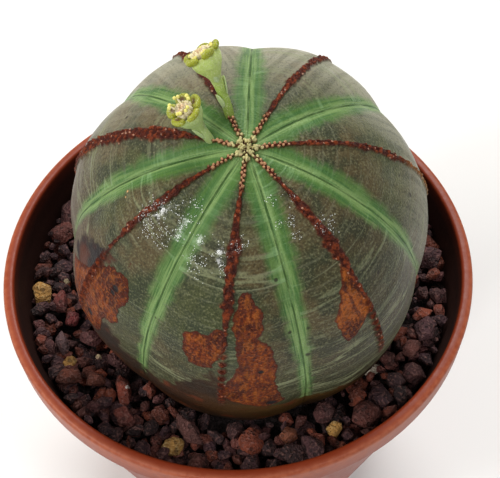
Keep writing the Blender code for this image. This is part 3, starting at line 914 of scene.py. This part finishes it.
def line_masks(down, across, rib):
    """(wandering pale lines across a rib, closer and finer ones)."""
    wavy = combined(down * 420.0, across * 55.0, rib * 4.3)
    off = maths("ABSOLUTE", clouds(wavy, 1.0, 2.0) - 0.5)
    lines = fade(off, 0.045, 0.0) * fade(clouds(wavy, 0.23, 1.0), 0.42, 0.62)
    close = combined(down * 1900.0, across * 130.0, rib)
    return lines, fade(clouds(close, 1.0, 2.0), 0.52, 0.68)


def cork_colour(settings, place, down, across, cork):
    """Rust-coloured cork with fibres along the plant, fresher at the right and darker to its edge."""
    grain = mottle(combined(down * 420.0, across * 1300.0), 1.0, 5.0, 3.2)
    crumbs = mottle(place, 2400.0, 3.0, 3.6)
    return layered(
        settings.cork,
        (fade(split(place)[0], 0.006, 0.012), srgb(160, 84, 30)),
        (fade(mottle(place, 260.0, 5.0, 3.2), 0.35, 0.75), settings.cork_dark),
        (fade(grain, 0.5, 0.95, 0.0, 0.45), srgb(160, 88, 24)),
        (fade(grain, 0.45, 0.1, 0.0, 0.7), srgb(78, 26, 12)),
        (fade(crumbs, 0.62, 1.0, 0.0, 0.4), srgb(176, 98, 38)),
        (fade(crumbs, 0.40, 0.0, 0.0, 0.5), srgb(50, 18, 8)),
        (fade(cork, 0.55, 0.0, 0.0, 0.85), srgb(78, 26, 9)),
    )


def crust_colour(settings, place, down, bead):
    """Dark scars, lighter on top with painted shade between their nodules and painted pale glints, tan low
    at the right, beige beads up high and a cream heart.
    """
    tan = fade(down, 0.024, 0.031) * fade(split(place)[0], 0.020, 0.026, 0.0, 0.6)
    beige = mixed(fade(bead, 0.3, 0.75), srgb(92, 36, 20), srgb(196, 146, 108))
    cream = mixed(fade(bead, 0.3, 0.8), srgb(100, 64, 34), srgb(216, 208, 150))
    return layered(
        settings.crust,
        (fade(mottle(place, 1300.0, 4.0, 3.2), 0.35, 0.9), settings.crust_light),
        # Painted shade between the crust's nodules and at its edge
        (fade(bead, 0.0, 0.30, 0.8, 0.0), srgb(50, 16, 10)),
        (tan, srgb(158, 108, 52)),
        (fade(down, 0.0066, 0.0044), beige),
        (fade(down, 0.0026, 0.0018), cream),
        # Painted glints on the crust
        (specks(place, 1700.0, 0.32, 0.2) * 0.5, srgb(226, 178, 150)),
    )


class PLANT_OT_globe(bpy.types.Operator):
    """Grows the ribbed globe with its crusty crests, corky patches and taproot"""

    bl_idname = "plant.globe"
    bl_label = "Grow the globe"

    def execute(self, context):
        settings = context.scene.plant_globe
        line = GlobeLine()
        pitch = settings.ring_pitch
        rings = [pitch * i for i in range(round(SHOWN_LENGTH / pitch))]
        rings += [rings[-1] + BURIED_PITCH * i for i in range(1, 25)]
        rings += [rings[-1] + (line.length - rings[-1]) * i / 22 for i in range(1, 23)]
        steps = len(COLUMN_SHARES) - 1
        columns = 2 * steps * len(RIB_AZIMUTHS)
        patches = [[Patch(line, outline) for outline in group] for group in (CORK_OUTLINES, STAIN_OUTLINES)]
        brown_edge = list(zip(*BROWN_EDGE))
        bm = bmesh.new()
        bmesh.ops.create_uvsphere(bm, u_segments=columns, v_segments=len(rings) - 1, radius=1)
        layers = {name: bm.verts.layers.float.new(name) for name in SKIN_VALUES}
        for corner in bm.verts:
            polar = math.atan2(math.hypot(corner.co.x, corner.co.y), corner.co.z)
            ring = round(polar / math.pi * (len(rings) - 1))
            column = round((math.atan2(corner.co.y, corner.co.x) % math.tau) / math.tau * columns) % columns
            rib = round(column / (2 * steps)) % len(RIB_AZIMUTHS)
            step = column - 2 * steps * round(column / (2 * steps))
            if ring in (0, len(rings) - 1):
                step = 0
            side = 1 if step >= 0 else -1
            skin = SkinPoint(line, settings, rib, COLUMN_SHARES[abs(step)], side, rings[ring], patches)
            corner.co = GLOBE_FRAME @ skin.place
            edge = float(np.interp(math.degrees(skin.azimuth) % 360, *brown_edge))
            skin.down, skin.rib, skin.brown = skin.distance, rib, skin.distance / MM - edge
            for name, layer in layers.items():
                corner[layer] = getattr(skin, name)
        new_piece("globe", bm, skin_finish(settings), ["plant_body"])
        return {"FINISHED"}


def skin_gap(point):
    """Roughly how far a point is outside the globe, or below 0 inside it."""
    local = GLOBE_FRAME.inverted() @ point
    flat = math.hypot(local.x, local.y) / GLOBE_RADIUS
    power = GLOBE_SQUARENESS
    level = (flat**power + (abs(local.z) / GLOBE_HALF_HEIGHT) ** power) ** (1 / power)
    return (1 - 1 / max(level, 1e-6)) * local.length


def add_stone(bm, place, turn, half_sizes, tint, draw, corners=13):
    """An angular stone: the hull of points spread on a ball, with its edges worn."""
    stone = bmesh.new()
    for i in range(corners):
        height = 1 - 2 * (i + 0.5) / corners
        angle = i * SPREAD_TURN + draw.uniform(-0.55, 0.55)
        flat = math.sqrt(1 - height * height)
        reach = draw.uniform(0.80, 1.12)
        stone.verts.new(around(flat, angle, height) * reach)
    hull = bmesh.ops.convex_hull(stone, input=stone.verts)
    inner = hull["geom_interior"] + hull["geom_unused"]
    spare = {item for item in inner if isinstance(item, bmesh.types.BMVert)}
    bmesh.ops.delete(stone, geom=list(spare), context="VERTS")
    bmesh.ops.dissolve_limit(stone, angle_limit=math.radians(14), verts=stone.verts, edges=stone.edges)
    bmesh.ops.bevel(
        stone, geom=stone.edges, offset=0.085, segments=2, profile=0.5, affect="EDGES", material=-1
    )
    bmesh.ops.triangulate(stone, faces=stone.faces)
    bmesh.ops.scale(stone, vec=half_sizes, verts=stone.verts)
    bmesh.ops.rotate(stone, cent=(0, 0, 0), matrix=turn.to_matrix(), verts=stone.verts)
    bmesh.ops.translate(stone, vec=place, verts=stone.verts)
    layer = stone.verts.layers.float_color.new("tint")
    for corner in stone.verts:
        corner[layer] = (*tint, 1)
    mesh = bpy.data.meshes.new("stone")
    stone.to_mesh(mesh)
    stone.free()
    bm.from_mesh(mesh)
    bpy.data.meshes.remove(mesh)


LAVA_TINTS = (
    srgb(78, 42, 42),
    srgb(92, 50, 50),
    srgb(68, 40, 46),
    srgb(104, 54, 46),
    srgb(58, 36, 38),
    srgb(120, 58, 42),
    srgb(86, 54, 58),
    srgb(134, 64, 42),
)
# Single stones that stand out: azimuth in degrees, distance from the axis, half sizes and turn, tint
SINGLE_STONES = (
    (226, 0.0305, (0.0016, 0.0037, 0.0017), 10, srgb(134, 60, 42)),
    (233, 0.0345, (0.0017, 0.0024, 0.0017), 40, srgb(120, 58, 48)),
    (252, 0.0318, (0.0018, 0.0040, 0.0018), 30, srgb(104, 62, 56)),
    (212, 0.0362, (0.0026, 0.0021, 0.0019), 15, srgb(118, 62, 46)),
    (217, 0.0330, (0.0020, 0.0018, 0.0018), 0, srgb(112, 62, 48)),
    (296, 0.0310, (0.0027, 0.0019, 0.0018), 60, srgb(86, 48, 46)),
    (282, 0.0330, (0.0017, 0.0016, 0.0016), 0, srgb(138, 76, 48)),
    (330, 0.0350, (0.0024, 0.0018, 0.0018), 60, srgb(118, 70, 62)),
    (186, 0.0334, (0.0016, 0.0028, 0.0018), 10, srgb(110, 48, 42)),
    (193, 0.0318, (0.0020, 0.0016, 0.0016), 50, srgb(112, 42, 42)),
    (201, 0.0346, (0.0015, 0.0026, 0.0016), 10, srgb(108, 82, 84)),
    (179, 0.0324, (0.0007, 0.0006, 0.0006), 0, srgb(206, 190, 150)),
    (211, 0.0300, (0.0007, 0.0006, 0.0006), 30, srgb(226, 202, 158)),
    (227, 0.0300, (0.0006, 0.0005, 0.0005), 0, srgb(186, 176, 170)),
)


def stone_finish(name, wear, roughness, pore_share=0.75):
    """Pitted stone, tinted stone by stone, paler where wear shows in its grain, with painted shade in its
    pores.
    """
    made, shader, place = new_finish(name)
    tint = attribute(made.node_tree, "tint", "Color")
    cloud = mottle(place, 330.0, 5.0, 2.4)
    grain = mottle(place, 1900.0, 3.0, 2.6)
    pores = specks(place, 900.0, 0.34, pore_share)
    colour = layered(
        tint,
        (fade(cloud, 0.25, 0.8, 0.0, 0.75), mixed(0.62, tint, srgb(20, 12, 14))),
        (fade(grain, 0.5, 0.95, 0.0, 0.55), wear),
        # Painted shade in the pores
        (pores * 0.6, mixed(0.8, tint, srgb(10, 6, 8))),
    )
    rough = fade(grain, 0.2, 0.9, roughness, roughness - 0.2)
    relief = bumped(grain + cloud - pores * 1.3, 0.9, 0.00035)
    plug(shader, {"Base Color": colour, "Roughness": rough, "Normal": relief})
    return made


def scattered(draw, spacing):
    """Places between the skin and the pot's wall at least a spacing apart."""
    spots = []
    outer = wall_radius(GRIT_LEVEL) - WALL
    for _ in range(TRIES):
        turn, reach = draw.uniform(0, math.tau), math.sqrt(draw.uniform(0.33, 1)) * outer
        spot = around(reach, turn).xy
        if all((spot - other).length > spacing for other in spots):
            spots.append(spot)
    return spots


class PLANT_OT_grit(bpy.types.Operator):
    """Lays lava stones in three layers round the plant, on a dark bed"""

    bl_idname = "plant.grit"
    bl_label = "Lay the grit"

    def execute(self, context):
        settings = context.scene.plant_grit
        draw = random.Random(settings.seed)
        bm = bmesh.new()
        bm.verts.layers.float_color.new("tint")
        kept = self.single_stones(bm, draw)
        for lift, scale in STONE_LAYERS:
            self.layer_of_stones(bm, draw, settings, kept, GRIT_LEVEL + lift, scale)
            kept = []
        finish = stone_finish("red lava", srgb(140, 96, 88), 0.82)
        new_piece("lava_stones", bm, finish, ["lava_grit"])
        self.bed()
        return {"FINISHED"}

    def single_stones(self, bm, draw):
        """Lays the stones that stand out and returns the places to keep clear of others."""
        kept = []
        for azimuth, reach, half_sizes, turn, tint in SINGLE_STONES:
            spot = around(reach, math.radians(azimuth)).xy
            place = Vector((*spot, GRIT_LEVEL + 0.0025 - half_sizes[2]))
            place.z += heaped(reach)
            add_stone(bm, place, Euler((0.1, 0.15, math.radians(turn))), half_sizes, tint, draw)
            kept.append((spot, 0.8 * max(half_sizes)))
        for name in CHIP_NAMES:
            low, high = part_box(name)
            kept.append((((low + high) / 2).xy, 0.4 * (high - low).length))
        return kept

    def layer_of_stones(self, bm, draw, settings, kept, level, scale):
        wall = wall_radius(level) - WALL
        for spot in scattered(draw, settings.spacing * scale):
            size = settings.stone_size * scale * draw.choice((0.55, 0.72, 0.85, 1.0, 1.15))
            half_sizes = [size * draw.uniform(0.85, 1.2), size * draw.uniform(0.55, 0.85), size * 0.66]
            spot *= min(1, (wall - 0.78 * size) / max(spot.length, 1e-6))
            place = Vector((*spot, level + heaped(spot.length) + draw.uniform(-0.0008, 0.0011)))
            taken = any((spot - other).length < reach + 0.55 * size for other, reach in kept)
            if taken or skin_gap(place) < 0.25 * size:
                continue
            turn = Euler((draw.uniform(-0.7, 0.7), draw.uniform(-0.7, 0.7), draw.uniform(0, math.tau)))
            base = Vector(draw.choice(LAVA_TINTS)) * draw.uniform(0.72, 1.25)
            add_stone(bm, place, turn, half_sizes, tuple(base), draw)

    def bed(self):
        """The dark filling under the stones."""
        floor, level = FOOT_RECESS + FLOOR + BED_GAP, GRIT_LEVEL - BED_DEPTH
        inside = [(wall_radius(z) - WALL - BED_GAP, z) for z in (level, 0.5 * level)]
        foot = (wall_radius(floor) - WALL - 0.0012, floor)
        bm = bmesh.new()
        spun(bm, [(0, level), (0.024, level), *inside, foot, (0, floor)], 96)
        layer = bm.verts.layers.float_color.new("tint")
        for corner in bm.verts:
            corner[layer] = (*srgb(34, 22, 22), 1)
        new_piece("filling", bm, stone_finish("dark filling", srgb(70, 46, 44), 0.9))


class PLANT_OT_chips(bpy.types.Operator):
    """Lays the ochre and whitish grains among the stones"""

    bl_idname = "plant.chips"
    bl_label = "Lay the pale grains"

    def execute(self, context):
        settings = context.scene.plant_grit
        draw = random.Random(settings.seed + 1)
        pumice = stone_finish("ochre pumice", srgb(232, 200, 140), 0.85, 0.45)
        quartz = stone_finish("white quartz", srgb(240, 232, 214), 0.5, 0.1)
        for name in CHIP_NAMES:
            low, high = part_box(name)
            middle, half_sizes = (low + high) / 2, (high - low) / 2
            is_quartz = name == "quartz_grain"
            tint = settings.quartz if is_quartz else settings.pumice
            tint = Vector(tint) * draw.uniform(0.85, 1.1)
            bm = bmesh.new()
            bm.verts.layers.float_color.new("tint")
            shape = (half_sizes.x * 1.12, half_sizes.y * 1.12, half_sizes.z * 0.9)
            if is_quartz:
                shape = QUARTZ_HALF_SIZES
            turn = Euler((0.1, 0.1, 0.6 if is_quartz else 0.2))
            middle.z += CHIP_LIFT + 0.875 * heaped(middle.xy.length)
            middle.x -= CHIP_SHIFTS.get(name, 0)
            add_stone(bm, middle, turn, shape, tuple(tint), draw, 20)
            new_piece(f"{name}_grain", bm, quartz if is_quartz else pumice, [name])
        return {"FINISHED"}


class FlowerPath:
    """The bent line of a flower from its foot to its mouth."""

    def __init__(self, foot, start_way, end_way, length):
        self.foot, self.length = foot, length
        reach = length / 2
        self.bend = foot + start_way.normalized() * reach
        self.mouth = self.bend + end_way.normalized() * reach

    def at(self, share):
        """The frame of the line at a share of its length, and beyond its end."""
        t = min(share, 1)
        point = self.foot * (1 - t) ** 2 + self.bend * 2 * t * (1 - t) + self.mouth * t**2
        way = ((self.bend - self.foot) * (1 - t) + (self.mouth - self.bend) * t).normalized()
        point += way * max(share - 1, 0) * self.length
        side = way.cross(Vector((0.3, -0.9, 0.2))).normalized()
        frame_at = Matrix((side, way.cross(side), way)).transposed().to_4x4()
        return Matrix.Translation(point) @ frame_at

    def follow(self, verts):
        """Moves corners that stand round Z so that they stand round the bent line."""
        for corner in verts:
            flat = Vector((corner.co.x, corner.co.y, 0))
            corner.co = self.at(corner.co.z / self.length) @ flat


def paint(layer, verts, tint):
    for corner in verts:
        corner[layer] = (*tint, 1)


def add_ball(bm, layer, place, half_sizes, tint, segments=14, rings=10):
    made = bmesh.ops.create_uvsphere(bm, u_segments=segments, v_segments=rings, radius=1)
    bmesh.ops.scale(bm, vec=half_sizes, verts=made["verts"])
    bmesh.ops.transform(bm, matrix=place, verts=made["verts"])
    paint(layer, made["verts"], tint)
    return made["verts"]


def add_thread(bm, layer, foot, tip, radius, tint):
    way = tip - foot
    place = Matrix.Translation((foot + tip) / 2) @ way.to_track_quat("Z", "Y").to_matrix().to_4x4()
    made = bmesh.ops.create_cone(
        bm,
        cap_ends=True,
        segments=8,
        radius1=radius * 1.2,
        radius2=radius * 0.8,
        depth=way.length,
        matrix=place,
    )
    paint(layer, made["verts"], tint)


def flower_finish(name, roughness):
    """Soft plant flesh in its painted tints, a little mottled and grainy."""
    made, shader, place = new_finish(name)
    tint = attribute(made.node_tree, "tint", "Color")
    cloud = mottle(place, 900.0, 3.0, 2.0)
    grain = mottle(place, 5200.0, 2.0, 2.4)
    colour = layered(
        tint,
        (fade(cloud, 0.4, 0.9, 0.0, 0.35), mixed(0.5, tint, srgb(90, 96, 30))),
        (fade(grain, 0.5, 1.0, 0.0, 0.3), srgb(236, 236, 206)),
    )
    rough = fade(cloud, 0.2, 0.8, roughness, roughness + 0.12)
    plug(shader, {"Base Color": colour, "Roughness": rough, "Normal": bumped(grain + cloud, 0.5, 0.00008)})
    shader.inputs["Subsurface Weight"].default_value = 0.25
    shader.inputs["Subsurface Radius"].default_value = (0.0012, 0.0012, 0.0005)
    shader.inputs["Subsurface Scale"].default_value = 1.0
    return made


class PLANT_OT_flowers(bpy.types.Operator):
    """Grows both flowers with their scales, cup, glands, fringe and stamens"""

    bl_idname = "plant.flowers"
    bl_label = "Grow the flowers"

    def execute(self, context):
        settings = context.scene.plant_flowers
        line = GlobeLine()
        flesh = flower_finish("flower flesh", 0.36)
        pollen = flower_finish("pollen and fringe", 0.55)
        for name, flower in FLOWERS.items():
            foot = GLOBE_FRAME @ line.spot(RIB_AZIMUTHS[flower.rib], flower.distance, 0.0001)
            path = FlowerPath(foot, flower.start_way, flower.end_way, flower.length)
            wide = flower.size * settings.cup_radius
            draw = random.Random(name)
            self.cup_and_stalk(name, path, settings, wide, flower.paleness, flesh, draw)
            self.stamens(name, path, settings, wide, flower.anther_reach, pollen, draw)
        return {"FINISHED"}

    def cup_and_stalk(self, name, path, settings, wide, pale, finish, draw):
        bm = bmesh.new()
        layer = bm.verts.layers.float_color.new("tint")
        length, thin = path.length, settings.stalk_radius
        hollow = 0.0012
        profile = [
            (0, length - hollow),
            (wide * 0.55, length - hollow),
            (wide * 0.80, length - hollow * 0.3),
            (wide * 0.90, length),
            (wide, length - 0.0002),
            (wide * 1.02, length - 0.0008),
            (wide * 0.90, length - 0.0017),
            (wide * 0.58, length - 0.0027),
            (thin * 1.10, length - 0.0036),
            (thin * 0.95, length * 0.4),
            (thin * 0.98, length * 0.2),
            (thin * 0.90, length * 0.05),
            (thin * 0.8, -0.0003),
            (0, -0.0003),
        ]
        spun(bm, rounded(profile, 0.0005, 4), 40)
        for corner in bm.verts:
            share = corner.co.z / length
            rim = smooth_step((corner.co.z - length + 0.0007) / 0.0006)
            tint = Vector(srgb(112, 132, 34)).lerp(Vector(settings.stalk), smooth_step(share / 0.3))
            tint = tint.lerp(Vector(settings.cup), smooth_step((share - 0.45) / 0.3))
            tint = tint.lerp(Vector(settings.scale), pale)
            tint = tint.lerp(Vector(settings.gland), 0.4 * rim)
            corner[layer] = (*tint, 1)
            wave = math.cos(GLAND_COUNT * math.atan2(corner.co.y, corner.co.x))
            corner.co.xy *= 1 + 0.06 * wave * smooth_step((share - 0.55) / 0.3)
        path.follow(bm.verts)
        self.glands(bm, layer, path, settings, wide, draw)
        self.scales(bm, layer, path, settings)
        new_piece(f"{name}_cup", bm, finish, [name])

    def glands(self, bm, layer, path, settings, wide, draw):
        """Five fleshy nectar glands round the mouth, each with a darker pit."""
        mouth = path.at(1)
        for i in range(GLAND_COUNT):
            around = Matrix.Rotation(math.tau * (i + draw.uniform(-0.08, 0.08)) / GLAND_COUNT, 4, "Z")
            spot = mouth @ around @ Matrix.Translation((wide * 0.95, 0, 0.0001))
            spot @= Matrix.Rotation(math.radians(-32), 4, "Y")
            size = draw.uniform(0.9, 1.1)
            half_sizes = (0.00085 * size, 0.00115 * size, 0.00055)
            lobe = add_ball(bm, layer, spot, half_sizes, settings.gland, 20, 12)
            inverse = spot.inverted()
            for corner in lobe:
                local = inverse @ corner.co
                depth = math.exp(-(((local.x / 0.00036) ** 2) + ((local.y / 0.00046) ** 2)))
                if local.z > 0:
                    corner.co -= spot.to_3x3() @ Vector((0, 0, 0.00034 * depth))
                    tint = Vector(settings.gland).lerp(Vector(settings.pit), min(1, 1.2 * depth))
                    corner[layer] = (*tint, 1)

    def scales(self, bm, layer, path, settings):
        """Thin pale scales that clasp the stalk."""
        for share, turn, size in STALK_SCALES:
            stand = path.at(share) @ Matrix.Rotation(math.radians(turn), 4, "Z")
            stand @= Matrix.Translation((settings.stalk_radius * 1.12, 0, 0.0006 * size))
            stand @= Matrix.Rotation(math.radians(13), 4, "Y")
            half_sizes = (0.00016, 0.00062 * size, 0.00135 * size)
            leaf = add_ball(bm, layer, stand, half_sizes, settings.scale, 16, 12)
            inverse = stand.inverted()
            for corner in leaf:
                local = inverse @ corner.co
                corner.co -= stand.to_3x3() @ Vector((0.7 * local.y**2 / 0.0009, 0, 0))

    def stamens(self, name, path, settings, wide, reach, finish, draw):
        """A fringed cream tuft, and forked anthers that stand out of it."""
        bm = bmesh.new()
        layer = bm.verts.layers.float_color.new("tint")
        mouth = path.at(1)
        wide *= 0.62
        for i in range(FLORET_COUNT):
            turn, aside = i * SPREAD_TURN, wide * math.sqrt((i + 0.5) / FLORET_COUNT)
            lift = draw.uniform(-0.0002, 0.0004) + 0.0003 * (1 - aside / wide)
            spot = mouth @ Matrix.Translation(around(aside, turn, lift))
            pink = draw.uniform(0, 0.9) * (1 - aside / wide)
            tint = Vector(settings.fringe).lerp(Vector(srgb(198, 140, 112)), pink)
            size = draw.uniform(0.00020, 0.00032)
            add_ball(bm, layer, spot, (size, size, size * 1.8), tuple(tint), 7, 6)
        base = mouth @ Matrix.Translation((0, 0, -0.0005))
        add_ball(bm, layer, base, (wide, wide, 0.0008), settings.fringe, 20, 12)
        for i in range(GLAND_COUNT):
            turn = math.tau * (i + draw.uniform(-0.2, 0.2)) / GLAND_COUNT
            tall = draw.uniform(0.5, 1.1) * reach
            out = Vector((math.cos(turn), math.sin(turn), 0))
            foot = mouth @ (out * wide * 0.5)
            tip = mouth @ (out * wide * draw.uniform(0.9, 1.35) + Vector((0, 0, tall)))
            add_thread(bm, layer, foot, tip, 0.00013, settings.fringe)
            across = mouth.to_3x3() @ Vector((-math.sin(turn), math.cos(turn), 0.2))
            for side in (-1, 1):
                spot = Matrix.Translation(tip + across * 0.00024 * side)
                add_ball(bm, layer, spot, (0.00025, 0.00025, 0.00025), settings.pollen, 12, 8)
        new_piece(f"{name}_tuft", bm, finish, [f"{name}_stamens"])


class PLANT_OT_stage(bpy.types.Operator):
    """Sets the pale floor, the soft lights and the camera"""

    bl_idname = "plant.stage"
    bl_label = "Set the stage"

    def execute(self, context):
        settings = context.scene.plant_stage
        self.floor(settings)
        self.lights(settings)
        lens = bpy.data.cameras.new("camera")
        lens.lens, lens.sensor_width = CAMERA_LENS, 36
        lens.clip_start = 0.005
        camera = bpy.data.objects.new("camera", lens)
        context.scene.collection.objects.link(camera)
        back = CAMERA_RIGHT.cross(CAMERA_UP)
        turn = Matrix((CAMERA_RIGHT, CAMERA_UP, back)).transposed()
        camera.matrix_world = Matrix.Translation(CAMERA_PLACE) @ turn.to_4x4()
        context.scene.camera = camera
        context.scene.view_settings.view_transform = "Standard"
        return {"FINISHED"}

    def floor(self, settings):
        bm = bmesh.new()
        bmesh.ops.create_circle(bm, cap_ends=True, segments=96, radius=settings.floor_radius)
        made, shader, place = new_finish("pale floor")
        tint = mixed(mottle(place, 3.0), (0.86, 0.86, 0.86), (0.9, 0.9, 0.9))
        plug(shader, {"Base Color": tint, "Roughness": 0.8})
        new_object("floor", bm, made)

    def lights(self, settings):
        world = bpy.data.worlds.new("daylight")
        world.use_nodes = True
        background = world.node_tree.nodes["Background"]
        plug(background, {"Color": (1, 0.98, 0.93), "Strength": settings.daylight})
        bpy.context.scene.world = world
        for name, (place, size, power, tint) in LIGHTS.items():
            lamp = bpy.data.lights.new(name, "AREA")
            lamp.shape, lamp.size, lamp.energy, lamp.color = "DISK", size, power, tint
            light = bpy.data.objects.new(name, lamp)
            bpy.context.scene.collection.objects.link(light)
            light.location = place
            light.rotation_euler = (AIM - Vector(place)).to_track_quat("-Z", "Y").to_euler()


OPERATORS = (PLANT_OT_pot, PLANT_OT_globe, PLANT_OT_grit, PLANT_OT_chips, PLANT_OT_flowers, PLANT_OT_stage)


class PLANT_PT_panel(bpy.types.Panel):
    """Lists the pieces' operators and settings"""

    bl_idname = "PLANT_PT_panel"
    bl_label = "Baseball plant"
    bl_space_type = "VIEW_3D"
    bl_region_type = "UI"
    bl_category = "Plant"

    def draw(self, context):
        for operator in OPERATORS:
            self.layout.operator(operator.bl_idname)
        for name in SETTINGS:
            box = self.layout.box()
            group = getattr(context.scene, name)
            for key in group.bl_rna.properties.keys():
                if key not in ("rna_type", "name"):
                    box.prop(group, key)


SETTINGS = {
    "plant_pot": PotSettings,
    "plant_globe": GlobeSettings,
    "plant_grit": GritSettings,
    "plant_flowers": FlowerSettings,
    "plant_stage": StageSettings,
}


def register():
    for name, group in SETTINGS.items():
        bpy.utils.register_class(group)
        setattr(bpy.types.Scene, name, PointerProperty(type=group))
    for made in (*OPERATORS, PLANT_PT_panel):
        bpy.utils.register_class(made)


def unregister():
    for made in reversed((*OPERATORS, PLANT_PT_panel)):
        bpy.utils.unregister_class(made)
    for name, group in SETTINGS.items():
        delattr(bpy.types.Scene, name)
        bpy.utils.unregister_class(group)


def main():
    register()
    bpy.ops.plant.pot()
    bpy.ops.plant.globe()
    bpy.ops.plant.grit()
    bpy.ops.plant.chips()
    bpy.ops.plant.flowers()
    bpy.ops.plant.stage()


if __name__ == "__main__":
    main()
